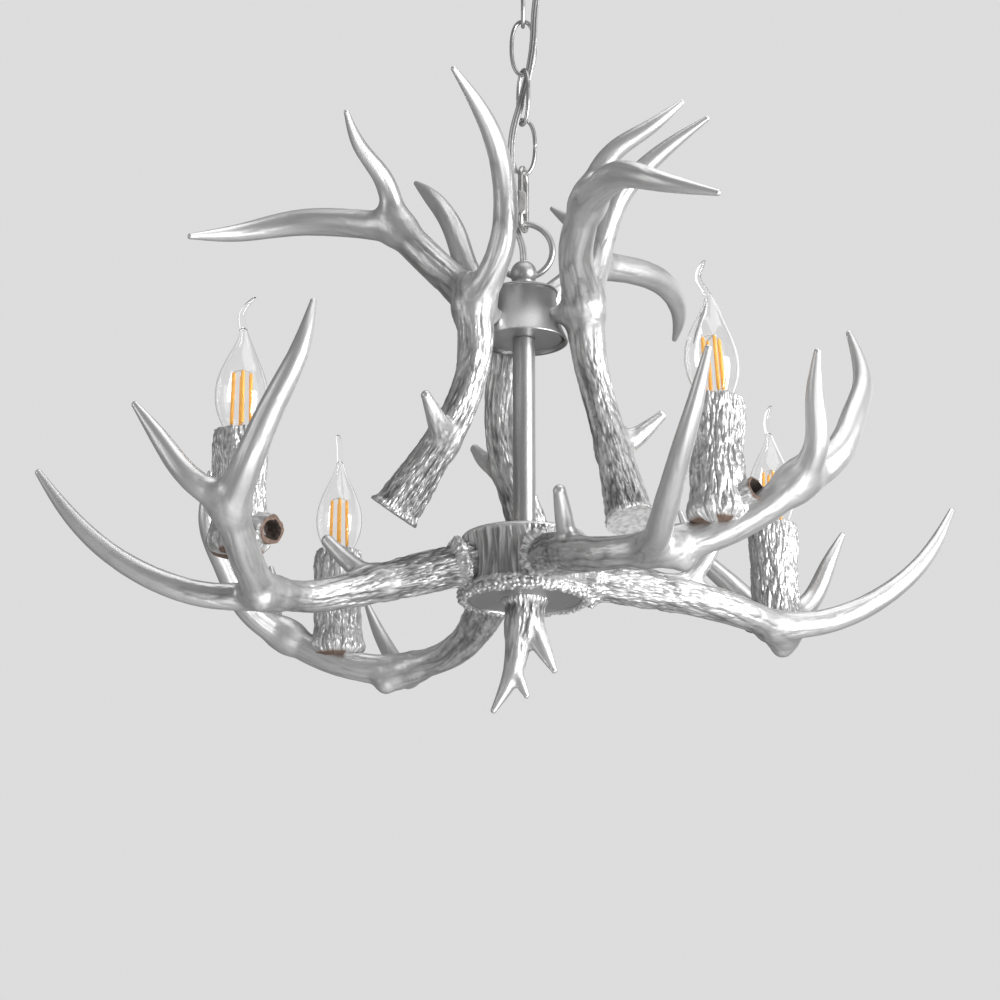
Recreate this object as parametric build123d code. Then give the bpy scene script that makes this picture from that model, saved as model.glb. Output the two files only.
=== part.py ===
from build123d import *
import math
import os

os.makedirs("parts", exist_ok=True)

# A four-light hanging fixture: cast antlers round a hub, three more round a cone, on a chain.
# Millimetres, +Z up. The origin is on the ceiling, on the fixture's axis; everything hangs below.

# ---- driving sizes ------------------------------------------------------------------------

run_gap = 0.3  # between curved faces that move on each other
fit_gap = 0.05  # between a shaft and the hole it turns or slides in

# ceiling fitting
canopy_diameter = 118.0
canopy_height = 27.0
canopy_wall = 1.5
crossbar_length = 104.0
crossbar_width = 20.0
crossbar_thickness = 2.0
slot_spacing = 82.0
slot_length = 14.0
slot_width = 5.2
crossbar_screw_spacing = 52.0
crossbar_screw_diameter = 4.0
canopy_nipple_diameter = 10.0
nipple_bore = 6.0
loop_wire = 5.0
loop_opening = 18.0
loop_base_diameter = 20.0
loop_base_height = 5.0
bushing_offset = 17.0
bushing_bearing = -25.0
bushing_diameter = 9.0
bushing_length = 9.0

# chain, quick link and hanging ring
chain_wire = 3.0
link_length = 45.5
link_width = 20.0
link_count = 4
link_corners = 16
link_bluntness = 0.85  # 1 is an ellipse
quick_wire = 4.0
quick_length = 51.0
quick_width = 20.0
quick_turn = 15.0
quick_gap = 5.0
nut_length = 17.0
nut_across_flats = 7.6
ring_wire = 4.5
ring_height = 40.0
ring_pin_depth = 3.0
ring_pin_length = 1.5
ring_steps = 12

# ball cap, cone and rod
ball_diameter = 19.0
ball_height = 23.5
ring_pivot_height = 12.5
lid_diameter = 49.0
lid_thickness = 2.0
cone_top_diameter = 47.0
cone_waist_diameter = 48.5
cone_bottom_diameter = 63.0
cone_height = 36.0
cone_wall = 1.5
cone_bottom_thickness = 1.5
cone_bottom_recess = 2.0
floor_rim_height = 3.0
rod_diameter = 16.0
rod_bore = 11.0
rod_length = 145.0
inner_nipple_diameter = 10.0

# hub
hub_diameter = 90.0
hub_waist_diameter = 87.0
hub_rim_diameter = 94.0
hub_rim_height = 8.0
hub_height = 48.0
hub_wall = 4.0
hub_plate_thickness = 2.5
nut_flats = 16.0
nut_height = 4.0

# antlers
tine_sides = 6  # of the tines' rings
round_sides = 18  # of turned pieces
small_sides = 12  # of rods, bores and small turned pieces
wire_sides = 8
fine_sides = 6  # of bolts and other fine pieces
antler_bolt_diameter = 5.0
antler_bolt_grip = 14.0
antler_bolt_head = 9.0
upper_screw_diameter = 4.0
burr_diameter = 37.0
burr_width = 9.0
burr_sides = 10
seat_height = 22.0  # of the lower antlers' bases above the hub's lower face

# candle holders and bulbs
cup_diameter = 37.0
cup_height = 74.0
cup_skirt = 9.0
cup_bore = 31.5
cup_floor = 20.0
cup_sides = 12
socket_diameter = 24.0
cap_diameter = 11.6
cap_length = 20.0
glass_diameter = 35.0
glass_length = 101.0
glass_neck = 11.6
glass_wall = 0.8
glass_sides = 10
# how far each tail strays to the side, halfway up and at its tip
bulb_tails = [(-1.5, 6.7), (-5.2, -0.5), (-1.5, 2.5), (-0.5, -2)]
bulb_tip_height = 168.0  # above the seat
filament_length = 36.5
filament_diameter = 2.4
filament_circle = 12.0
stem_height = 11.5

# supply cord
cord_diameter = 4.4
cord_steps = 30

# ---- heights, from the ceiling down -------------------------------------------------------

canopy_floor = -canopy_height
loop_base = canopy_floor - loop_base_height
loop_centre = loop_base - loop_opening / 2 - loop_wire / 2
loop_low_wire = loop_centre - loop_opening / 2 - loop_wire / 2

link_pitch = link_length - chain_wire
first_link_top = loop_low_wire + (loop_wire + chain_wire) / 2 + run_gap
link_tops = [
    first_link_top - n * (link_pitch - chain_wire - run_gap) for n in range(link_count)
]
last_link_bottom = link_tops[-1] - link_pitch
quick_top = last_link_bottom + (chain_wire + quick_wire) / 2 + run_gap
quick_bottom = quick_top - (quick_length - quick_wire)
ring_top = quick_bottom + (quick_wire + ring_wire) / 2 + run_gap
ring_pivot = ring_top - ring_height

lid_top = ring_pivot - ring_pivot_height
ball_top = lid_top + ball_height
cone_top = lid_top - lid_thickness
cone_bottom = cone_top - cone_height
rod_top = cone_bottom + cone_bottom_recess
hub_top = rod_top - rod_length
hub_bottom = hub_top - hub_height

# ---- the antlers' moulds ------------------------------------------------------------------
# Both moulds are drawn from the fixture's axis: +X outwards, heights from the hub's lower face.
# A tine has the points that its middle line runs through, and radii spaced evenly along it.

lower_mould = {
    "beam": ([(38, -4, 24), (100, -24, 9), (155, -29, -5), (206, -7, -11)], [15, 15, 13.5, 12, 11, 12]),
    "long_tine": (
        [(188, -17, -10), (223, -32, -10), (258, -46, 1), (294, -56, 24), (318, -59, 48), (336, -60, 72)],
        [11, 9, 8.2, 7, 5.6, 2.4],
    ),
    "branch": ([(202, -9, -11), (231, 28, 1), (256, 59, 25)], [12, 11, 11, 11.5]),
    "inner_tine": (
        [(253, 54, 21), (254, 90, 44), (247, 111, 72), (237, 129, 101), (226, 131, 136)],
        [11.5, 10.5, 9, 7.8, 6, 2.2],
    ),
    "outer_tine": ([(252, 56, 22), (280, 54, 39), (294, 46, 63), (309, 40, 88)], [11, 8.6, 7.4, 5.8, 2.4]),
    "brow_tine": ([(101, -22, 8), (118, -34, 21), (132, -45, 41)], [9, 7.2, 5.6, 3]),
    "heel_knob": ([(204, -6, -14), (206, -1, -26)], [10, 8.5, 5.5]),
}
lower_seat = (228, 22, 11)  # where a candle holder stands on the branch
seat_shifts = [(3.5, -2, 0), (-4, -7.5, -3), (-5, 2.5, -2), (2, 3.5, 1)]  # of each holder from there
# bearing, roll about the outward line, tilt of the outer end, lift and reach of each casting
lower_poses = [(210, 4, 2, 4, -3), (299, 4, -1, 1, -3), (28, -7, -4, -5, 2), (121, -3, 0, 1, 2)]

upper_mould = {
    "beam": (
        [(86, 12, 57), (66, 22, 96), (49, 28, 135), (41, 23, 178), (44, 14, 221)],
        [17, 14.5, 13, 12, 12, 13.5, 14],
    ),
    "stem": ([(43, 16, 214), (66, -19, 246), (96, -38, 277)], [14, 12.5, 12, 11.5]),
    "long_tine": (
        [(90, -34, 272), (126, -60, 277), (159, -79, 276), (196, -86, 265), (233, -77, 254)],
        [12, 10.5, 10.2, 8.8, 6.2, 2.2],
    ),
    "short_tine": ([(92, -36, 272), (107, -28, 305), (128, -15, 321), (144, 2, 339)], [10.5, 8.2, 6.6, 5, 2]),
    "tall_tine": (
        [(42, 16, 212), (34, 43, 248), (39, 57, 289), (60, 77, 324), (92, 98, 351)],
        [12.5, 9.8, 8.8, 7.8, 6, 2],
    ),
    "spur": ([(58, 25, 108), (68, 42, 119), (80, 54, 133)], [9, 8, 6.2, 3.6]),
    "seat_lobe": ([(45, 16, 205), (20, 7, 207)], [13, 10.5, 8]),
}
upper_pivot = (40, 0, 185)  # the castings are turned about here
# bearing, tilt and roll about the pivot, lift and reach of each casting
upper_poses = [(196.5, -3, -7, -1, 1), (318.5, 7, 9, -3, 0), (78, -2, -1, 5, -1)]
upper_screw = (20, 7, 207)

crown_mould = {
    "stub": ([(0, 0, 4), (0, 0, -9), (-1, 0, -20)], [15.5, 14, 12]),
    "left_tine": ([(-4, 0, -16), (-8, -2, -48), (-21, -4, -76)], [10.5, 8, 5, 1.8]),
    "middle_tine": ([(-8, -2, -46), (-3, -4, -57), (1, -5, -66)], [5, 4.4, 3.6, 1.6]),
    "right_tine": ([(4, -1, -16), (12, -3, -32), (20, -4, -48)], [10, 7.4, 5, 1.8]),
}

# ---- small makers -------------------------------------------------------------------------


def save(shape, name):
    """One named node, as one file."""
    export_step(shape, f"parts/{name}.step")


def ring_of(plane, radius, sides):
    """Corners of a regular polygon on a plane."""
    turns = [2 * math.pi * n / sides for n in range(sides)]
    return [plane.from_local_coords(Vector(radius * math.cos(a), radius * math.sin(a), 0)) for a in turns]


def faceted(rings):
    """A closed solid through rings of corners: a flat facet, or two, between each pair of corners."""
    faces = [Face(Wire.make_polygon(rings[0])), Face(Wire.make_polygon(rings[-1]))]
    for below, above in zip(rings, rings[1:]):
        for n, corner in enumerate(below):
            following = (n + 1) % len(below)
            quad = [corner, below[following], above[following], above[n]]
            across = (quad[1] - corner).cross(quad[2] - corner).normalized()
            if abs(across.dot(quad[3] - corner)) < 1e-8:
                faces.append(Face(Wire.make_polygon(quad)))
            else:
                faces.append(Face(Wire.make_polygon(quad[:3])))
                faces.append(Face(Wire.make_polygon([quad[0], quad[2], quad[3]])))
    return Solid(Shell(faces))


def tube_along(spine, radii, sides):
    """Rings of evenly spaced radii along a line, each turned as little as can be from the one before."""
    sideways = Vector(0.3, 1, 0.2)
    rings = []
    for step, radius in enumerate(radii):
        share = step / (len(radii) - 1)
        along = (spine % share).normalized()
        sideways = (sideways - along * sideways.dot(along)).normalized()
        rings.append(ring_of(Plane(spine @ share, x_dir=sideways, z_dir=along), radius, sides))
    return faceted(rings)


def tine(points, radii):
    """A tapered tine along a smooth middle line."""
    spine = Spline([Vector(*p) for p in points]) if len(points) > 2 else Line(*points)
    return tube_along(spine, radii, tine_sides)


def antler(mould):
    """All tines of one mould, fused into one casting."""
    tines = [tine(points, radii) for points, radii in mould.values()]
    body = tines[0]
    for extra in tines[1:]:
        body = body + extra
    return body


def turned(points, sides=round_sides):
    """A solid of revolution with flat sides from (radius, height) corners, end to end."""
    return faceted([ring_of(Plane((0, 0, height)), radius, sides) for radius, height in points])


def bar(diameter, low, high, sides=small_sides, around=False):
    """An upright bar with flat sides, or with around the space that a bar of that size fits in."""
    return Pos(0, 0, low) * extrude(RegularPolygon(diameter / 2, sides, major_radius=not around), high - low)


def tube(outer, bore, low, high, sides=small_sides):
    """An upright tube."""
    return bar(outer, low, high, sides) - bar(bore, low - 1, high + 1, min(sides, small_sides), around=True)


def loop_corners(length, width, wire, top, turns=6):
    """Middle line of a straight-sided link in the XZ plane, its ends bent in equal steps."""
    bend = (width - wire) / 2
    high = top - bend
    low = top - (length - wire) + bend
    corners = []
    for centre, start in ((high, 0), (low, 180)):
        for step in range(turns + 1):
            angle = math.radians(start + 180 * step / turns)
            corners.append((bend * math.cos(angle), 0, centre + bend * math.sin(angle)))
    return corners


def bent_wire(corners, wire, closed=True):
    """Flat-sided wire along corners, mitred at each."""
    path = Polyline(*corners, close=closed)
    start = Plane(path @ 0, z_dir=path % 0)
    return sweep(start * RegularPolygon(wire / 2, wire_sides), path=path, transition=Transition.RIGHT)


def oval_link(top, turn):
    """A chain link in an upright plane: a long oval, blunter than an ellipse, turned about the vertical."""
    across, along = (link_width - chain_wire) / 2, (link_length - chain_wire) / 2
    corners = []
    for step in range(link_corners):
        angle = 2 * math.pi * step / link_corners
        out, up = math.sin(angle), math.cos(angle)
        blunt_out = math.copysign(abs(out) ** link_bluntness, out)
        blunt_up = math.copysign(abs(up) ** link_bluntness, up)
        corners.append((across * blunt_out, 0, top - along + along * blunt_up))
    return Rot(Z=turn) * bent_wire(corners, chain_wire)


# ---- ceiling fitting ----------------------------------------------------------------------

canopy_radius = canopy_diameter / 2
canopy_outside = [
    (canopy_radius * 0.55, canopy_floor),
    (canopy_radius * 0.84, canopy_floor * 0.72),
    (canopy_radius, canopy_floor * 0.2),
    (canopy_radius, 0),
]
canopy_inside = [(radius - canopy_wall, height + canopy_wall) for radius, height in canopy_outside]
canopy = turned(canopy_outside) - turned(canopy_inside)
canopy_through = (canopy_floor - 1, canopy_floor + canopy_wall + 1)
canopy -= bar(canopy_nipple_diameter + 2 * run_gap, *canopy_through, around=True)
bushing_turn = math.radians(bushing_bearing)
bushing_at = Pos(bushing_offset * math.cos(bushing_turn), bushing_offset * math.sin(bushing_turn), 0)
canopy -= bushing_at * bar(bushing_diameter, *canopy_through, around=True)
save(canopy, "ceiling_canopy")

crossbar_through = (-crossbar_thickness - 1, 1)
crossbar_blank = Rectangle(crossbar_length, crossbar_width)
for side in (-1, 1):
    crossbar_blank -= Pos(side * slot_spacing / 2, 0) * SlotOverall(slot_length, slot_width)
crossbar = Pos(0, 0, -crossbar_thickness) * extrude(crossbar_blank, crossbar_thickness)
for side in (-1, 1):
    crossbar -= Pos(side * crossbar_screw_spacing / 2, 0, 0) * bar(
        crossbar_screw_diameter + 2 * fit_gap, *crossbar_through, fine_sides, around=True
    )
crossbar -= bar(canopy_nipple_diameter + 2 * fit_gap, *crossbar_through, around=True)
save(crossbar, "mounting_crossbar")

# two screws that clamp the crossbar's ears, each with its own nut below
earth_screws = []
for side in (-1, 1):
    head = bar(2 * crossbar_screw_diameter, -crossbar_thickness - 2.4, -crossbar_thickness, fine_sides)
    shank = bar(crossbar_screw_diameter, -crossbar_thickness - 1, -0.2, fine_sides)
    earth_screws.append(Pos(side * crossbar_screw_spacing / 2, 0, 0) * (head + shank))
save(Compound(children=earth_screws), "crossbar_screws")

save(tube(canopy_nipple_diameter, nipple_bore, loop_base + 0.5, -0.5, wire_sides), "canopy_nipple")

# the loop: a round base that screws on the nipple and clamps the canopy, with its bow below
loop_bend = (loop_opening + loop_wire) / 2
bow = [
    (loop_bend * math.cos(math.radians(angle)), 0, loop_centre + loop_bend * math.sin(math.radians(angle)))
    for angle in range(-250, 71, 32)
]
loop = bar(loop_base_diameter, loop_base, canopy_floor) + bent_wire(bow, loop_wire, closed=False)
loop -= bar(canopy_nipple_diameter + 2 * fit_gap, loop_base + 0.4, canopy_floor + 1, around=True)
save(loop, "canopy_loop")

cord_bore = cord_diameter + 2 * run_gap
bushing_low = canopy_floor - 2
bushing_high = bushing_low + bushing_length
bushing = tube(bushing_diameter - 2 * fit_gap, cord_bore, bushing_low, bushing_high, wire_sides)
bushing += tube(bushing_diameter + 3, cord_bore, bushing_low, canopy_floor, wire_sides)
save(bushing_at * bushing, "cord_bushing")

# ---- chain, quick link and ring -----------------------------------------------------------

for n, top in enumerate(link_tops):
    save(oval_link(top, 90 if n % 2 == 0 else 0), f"chain_link_{n + 1}")

quick_corners = loop_corners(quick_length, quick_width, quick_wire, quick_top)
quick_leg = (quick_width - quick_wire) / 2
nut_low = quick_bottom + quick_leg + 0.5
quick = bent_wire(quick_corners, quick_wire)
gap_low = nut_low + (nut_length - quick_gap) / 2
quick -= Pos(-quick_leg, 0, gap_low) * Box(
    2 * quick_wire, 2 * quick_wire, quick_gap, align=(Align.CENTER, Align.CENTER, Align.MIN)
)
nut = extrude(RegularPolygon(nut_across_flats / 2, 6, major_radius=False), nut_length)
nut -= bar(quick_wire + 2 * run_gap, -1, nut_length + 1, wire_sides, around=True)
quick_facing = Rot(Z=90 - quick_turn)
save(quick_facing * quick, "quick_link")
save(quick_facing * Pos(-quick_leg, 0, nut_low) * nut, "quick_link_nut")

# the hanging ring: a round bail whose ends are pins in the ball's sides
ring_pin = ball_diameter / 2 - ring_pin_depth
ring_foot = ring_pin + ring_pin_length
ring_radius = (ring_height**2 + ring_foot**2) / (2 * ring_height)
ring_open = math.acos(ring_foot / ring_radius)
ring_line = [(ring_pin, 0, ring_pivot)]
for step in range(ring_steps + 1):
    angle = -ring_open + (math.pi + 2 * ring_open) * step / ring_steps
    along = ring_radius * math.cos(angle)
    ring_line.append((along, 0, ring_top - ring_radius + ring_radius * math.sin(angle)))
ring_line.append((-ring_pin, 0, ring_pivot))
save(bent_wire(ring_line, ring_wire, closed=False), "hanging_ring")

# ---- ball cap, lid, cone and rod ----------------------------------------------------------

ball_radius = ball_diameter / 2
waist_line = lid_top + ball_height - ball_radius
ball_profile = [(ball_radius + 0.8, lid_top), (ball_radius + 0.8, lid_top + 2), (ball_radius, lid_top + 3)]
ball_profile += [
    (ball_radius * math.cos(math.radians(a)), waist_line + ball_radius * math.sin(math.radians(a)))
    for a in range(0, 76, 25)
]
ball = turned(ball_profile, small_sides)
nipple_top = ring_pivot + 1
ball -= bar(inner_nipple_diameter + 2 * fit_gap, lid_top - 1, nipple_top + 0.5, around=True)
ball -= bar(cord_bore, lid_top, ball_top + 1, wire_sides, around=True)
for side in (-1, 1):
    # each pin's hole flares outwards, where the ring bends away
    hole_at = Pos(side * (ring_pin - 0.4), 0, ring_pivot) * Rot(Y=90 * side)
    hole_radius = (ring_wire / 2 + run_gap) / math.cos(math.pi / wire_sides)
    flare = [(hole_radius, 0), (hole_radius, ring_pin_length), (hole_radius + 1.5 * ring_wire, 2 * ring_wire)]
    ball -= hole_at * turned(flare, wire_sides)
save(ball, "ball_cap")

lid = tube(lid_diameter, inner_nipple_diameter + 2 * fit_gap, cone_top, lid_top, round_sides)
save(lid, "cone_lid")

cone_outside = [
    (cone_top_diameter / 2, cone_top),
    (cone_waist_diameter / 2, cone_top - cone_height * 0.4),
    (cone_waist_diameter / 2 + 2.6, cone_top - cone_height * 0.68),
    (cone_bottom_diameter / 2, cone_bottom),
]
cone_full = turned(cone_outside)
cone_wall_line = [(radius - cone_wall, height) for radius, height in cone_outside]
beyond_top = [(cone_wall_line[0][0], cone_top + 1)]
beyond_bottom = [(cone_wall_line[-1][0], cone_bottom - 1)]
cone = cone_full - turned(beyond_top + cone_wall_line + beyond_bottom)

cone_floor_top = rod_top + cone_bottom_thickness
floor_radius = cone_bottom_diameter / 2 - cone_wall - 3
floor_bore = inner_nipple_diameter + 2 * fit_gap
cone_floor = tube(2 * floor_radius, floor_bore, rod_top, cone_floor_top, round_sides)
cone_floor += tube(
    2 * floor_radius - 1, 2 * floor_radius - 3, cone_floor_top, cone_floor_top + floor_rim_height, round_sides
)
save(cone_floor, "cone_bottom_cover")

upper_nipple_low = rod_top - 18
save(tube(inner_nipple_diameter, nipple_bore, upper_nipple_low, nipple_top, wire_sides), "upper_nipple")

save(tube(rod_diameter, rod_bore, hub_top, rod_top), "centre_rod")
lower_nipple_low = hub_bottom - 1
lower_nipple = tube(inner_nipple_diameter, nipple_bore, lower_nipple_low + 6, hub_top + 18, wire_sides)
save(lower_nipple, "lower_nipple")

# ---- hub ----------------------------------------------------------------------------------

hub_outside = [
    (hub_diameter / 2 - 3, hub_top),
    (hub_diameter / 2, hub_top - 3),
    (hub_waist_diameter / 2, hub_top - hub_height * 0.5),
    (hub_waist_diameter / 2 + 0.5, hub_bottom + hub_rim_height + 3),
    (hub_rim_diameter / 2, hub_bottom + hub_rim_height - 2),
    (hub_rim_diameter / 2 - 1, hub_bottom + 1),
    (hub_rim_diameter / 2 - 4, hub_bottom),
]
hub_inner = hub_waist_diameter / 2 - hub_wall
plate_top = hub_bottom + 2 + hub_plate_thickness
hub_full = turned(hub_outside)
hub = hub_full - bar(2 * hub_inner, hub_bottom - 1, hub_top - hub_wall, round_sides, around=True)
hub -= bar(inner_nipple_diameter + 2 * fit_gap, hub_top - hub_wall - 1, hub_top + 1, around=True)

hub_plate = tube(
    2 * hub_inner - 2 * fit_gap, inner_nipple_diameter + 2 * fit_gap, hub_bottom + 2, plate_top, round_sides
)
save(hub_plate, "hub_bottom_plate")

hub_nut = extrude(RegularPolygon(nut_flats / 2, 6, major_radius=False), nut_height)
hub_nut -= bar(inner_nipple_diameter + 2 * fit_gap, -1, nut_height + 1, wire_sides, around=True)
nut_seats = (hub_top - hub_wall - nut_height, plate_top, cone_floor_top)
save(Compound(children=[Pos(0, 0, seat) * hub_nut for seat in nut_seats]), "nipple_nuts")

# ---- antlers ------------------------------------------------------------------------------


def lower_place(pose):
    """Where a lower casting goes: swung to its bearing, rolled and tilted about its seat."""
    bearing, roll, tilt, lift, reach = pose
    swing = Pos(0, 0, hub_bottom + lift) * Rot(Z=bearing) * Pos(reach, 0, seat_height)
    return swing * Rot(X=roll) * Rot(Y=tilt) * Pos(0, 0, -seat_height)


def upper_place(pose):
    """Where an upper casting goes: turned about its seat on the cone."""
    bearing, tilt, roll, lift, reach = pose
    x, y, z = upper_pivot
    swing = Pos(0, 0, hub_bottom) * Rot(Z=bearing) * Pos(reach + x, y, lift + z)
    return swing * Rot(Y=tilt) * Rot(X=roll) * Pos(-x, -y, -z)


def bolt(length, diameter, head):
    """A round-headed bolt along -X from its head's underside at the origin."""
    shank = Rot(Y=-90) * bar(diameter, 0, length, fine_sides)
    cap = Rot(Y=90) * bar(head, 0, diameter * 0.55, fine_sides)
    return shank + cap


# the lower mould, with the flared burr at its base that meets the hub's wall
lower_casting = antler(lower_mould)
base_line = Spline([Vector(*p) for p in lower_mould["beam"][0]])
burr_at = base_line.position_at(0.045)
burr_along = base_line.tangent_at(0.045)
burr_rings = [
    ring_of(Plane(burr_at + burr_along * step, z_dir=burr_along), radius, burr_sides)
    for step, radius in (
        (-9, burr_diameter / 2 - 3),
        (0, burr_diameter / 2),
        (burr_width * 0.6, burr_diameter / 2),
        (burr_width, burr_diameter / 2 - 4.5),
    )
]
lower_casting += faceted(burr_rings)

bolts = []
bolt_length = hub_wall + 4 + antler_bolt_grip
for number, pose in enumerate(lower_poses, 1):
    place = lower_place(pose)
    casting = place * lower_casting
    casting -= hub_full
    root = place * Pos(*burr_at)
    along = (place * Pos(*(burr_at + burr_along * 10))).position - root.position
    flat_along = Vector(along.X, along.Y, 0).normalized()
    inside = hub_inner - 1.5
    start = root.position
    reach_in = start.X * flat_along.X + start.Y * flat_along.Y
    aside = start.X**2 + start.Y**2 - reach_in**2
    head_at = start - flat_along * (reach_in - math.sqrt(inside**2 - aside))
    head_at = Vector(head_at.X, head_at.Y, hub_bottom + seat_height)
    turn = math.degrees(math.atan2(flat_along.Y, flat_along.X))
    at = Pos(*head_at) * Rot(Z=turn + 180)
    one_bolt = at * bolt(bolt_length, antler_bolt_diameter, antler_bolt_head)
    way_through = bar(antler_bolt_diameter + 2 * fit_gap, 0, bolt_length + 2, fine_sides, around=True)
    clearance = at * Rot(Y=-90) * way_through
    casting -= clearance
    hub -= clearance
    bolts.append(one_bolt)
    seat = (place * Pos(*lower_seat) * Pos(*seat_shifts[number - 1])).position

    # the holder: a bark-faced sleeve with a skirt that saddles the branch
    rings = [(-cup_skirt, 0.8), (-2, 1.16), (6, 1.06), (22, 0.96), (48, 0.97), (cup_height, 1.0)]
    cup = turned([(cup_diameter / 2 * share, height) for height, share in rings], cup_sides)
    cup -= bar(cup_bore, cup_floor, cup_height + 1, around=True)
    at_seat = Pos(seat.X, seat.Y, seat.Z)
    cup = at_seat * cup
    cup -= casting
    cup = cup.solids().sort_by(SortBy.VOLUME)[-1]
    save(casting, f"lower_antler_{number}")
    save(cup, f"candle_cup_{number}")

    # the lampholder on the sleeve's floor
    print(f"seat_{number}", round(seat.X, 3), round(seat.Y, 3), round(seat.Z, 3))
    cap_top = bulb_tip_height - glass_length
    holder = bar(socket_diameter, cup_floor, cap_top, wire_sides)
    holder += bar(cup_bore - 2 * run_gap, cup_floor, cup_floor + 4, wire_sides)
    cap_space = (cap_top - cap_length - run_gap, cap_top + 1)
    holder -= bar(cap_diameter + 2 * run_gap, *cap_space, glass_sides, around=True)
    save(at_seat * holder, f"lampholder_{number}")

    # the bulb: screw cap, blown glass with a bent flame tip, and four straight filaments
    cap_low = cap_top - cap_length
    cap = turned(
        [
            (3, cap_low),
            (cap_diameter / 2, cap_low + 4),
            (cap_diameter / 2, cap_top),
        ],
        glass_sides,
    )
    save(at_seat * cap, f"bulb_cap_{number}")

    widest = glass_diameter / 2
    neck = glass_neck / 2
    outline = [
        (0, neck),
        (8, widest * 0.62),
        (18, widest * 0.86),
        (30, widest),
        (41, widest * 0.94),
        (52, widest * 0.73),
        (62, widest * 0.47),
        (71, widest * 0.26),
        (77, widest * 0.165),
    ]
    shell = turned([(radius, cap_top + height) for height, radius in outline], glass_sides)
    inside = [(outline[n][1] - glass_wall, cap_top + outline[n][0]) for n in (0, 2, 3, 4, 6, 7)]
    inside[0] = (inside[0][0], cap_top + glass_wall)
    hollow = turned(inside, glass_sides)
    tail_from, tail_radius = outline[-1]
    tail_rise = glass_length - tail_from
    halfway, at_tip = bulb_tails[number - 1]
    tail_line = (
        (0, 0, tail_radius, halfway * 0.07),
        (halfway, 0.45, 1.8, 0),
        (0.6 * halfway + 0.4 * at_tip, 0.78, 1.6, (at_tip - halfway) * 0.06),
        (at_tip, 1, 1.4, (at_tip - halfway) * 0.08),
    )
    tail_rings = []
    for strays, share, radius, lean in tail_line:
        level = cap_top + tail_from + tail_rise * share
        tail_rings.append(ring_of(Plane((strays, 0, level), z_dir=(lean, 0, 1)), radius, glass_sides))
    tail = faceted(tail_rings)
    save(at_seat * (shell + tail - hollow), f"bulb_glass_{number}")

    stem_low = cap_top + glass_wall
    strip_low = cap_top + stem_height
    stem = turned([(4.2, stem_low), (1.6, stem_low + 5), (1.4, strip_low)], fine_sides)
    arm = filament_circle + filament_diameter
    spokes = Rectangle(arm, 1.2) + Rectangle(1.2, arm)
    stem += Pos(0, 0, strip_low - 0.8) * extrude(spokes, 0.8)
    tops = Pos(0, 0, strip_low + filament_length) * extrude(spokes, 0.6)
    wires = [at_seat * stem, at_seat * tops]
    for quarter in range(4):
        spot = Rot(Z=90 * quarter) * Pos(filament_circle / 2, 0, strip_low)
        strip = bar(filament_diameter, 0, filament_length, fine_sides)
        wires.append(at_seat * spot * strip)
    save(Compound(children=wires), f"filaments_{number}")

save(hub, "hub_barrel")
save(Compound(children=bolts), "lower_antler_bolts")

# the upper castings, each with a lobe that seats on the cone's wall and a screw from inside it
upper_casting = antler(upper_mould)
screws = []
for number, pose in enumerate(upper_poses, 1):
    place = upper_place(pose)
    casting = place * upper_casting - cone_full
    casting = casting.solids().sort_by(SortBy.VOLUME)[-1]
    lobe = (place * Pos(*upper_screw)).position
    bearing = math.degrees(math.atan2(lobe.Y, lobe.X))
    inside = cone_waist_diameter / 2 - cone_wall - 0.6
    at = Rot(Z=bearing) * Pos(inside, 0, lobe.Z) * Rot(Z=180)
    way_through = bar(upper_screw_diameter + 2 * fit_gap, 0, antler_bolt_grip + 4, fine_sides, around=True)
    hole = at * Rot(Y=-90) * way_through
    screws.append(at * bolt(antler_bolt_grip + 2, upper_screw_diameter, antler_bolt_head - 1))
    cone -= hole
    casting -= hole
    save(casting, f"upper_antler_{number}")
save(cone, "cone_shell")
save(Compound(children=screws), "upper_antler_screws")

# the short crown that hangs under the hub
crown = antler(crown_mould)
crown_top = hub_bottom + 2
crown = Pos(0, 0, hub_bottom) * crown
crown -= Pos(0, 0, crown_top) * Box(80, 80, 40, align=(Align.CENTER, Align.CENTER, Align.MIN))
crown -= bar(inner_nipple_diameter + 2 * fit_gap, lower_nipple_low, crown_top + 1, around=True)
save(crown, "pendant_crown")

# ---- supply cord --------------------------------------------------------------------------
# Flat twin cord from the bushing, woven through the links, into the ball cap's top.
# Heights are from the hub's lower face, as for the antlers.

cord_start = bushing_at.position
cord_route = [
    (cord_start.X, cord_start.Y, canopy_floor + 4 - hub_bottom),
    (cord_start.X, cord_start.Y, 486),
    (8.5, -6, 452),
    (7.5, -7, 414),
    (0, -2, 381),
    (-9, -7, 347),
    (-8.5, -5.5, 320),
    (-8.5, 0, 298),
    (-6, 6, 281),
    (0, 0.5, 264),
    (0, 0, 246),
    (0.4, 0, 230),
]
cord_cuts = [510, 460, 421, 381.5, 342, 309, 272, 225]  # between one joint of the chain and the next

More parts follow.
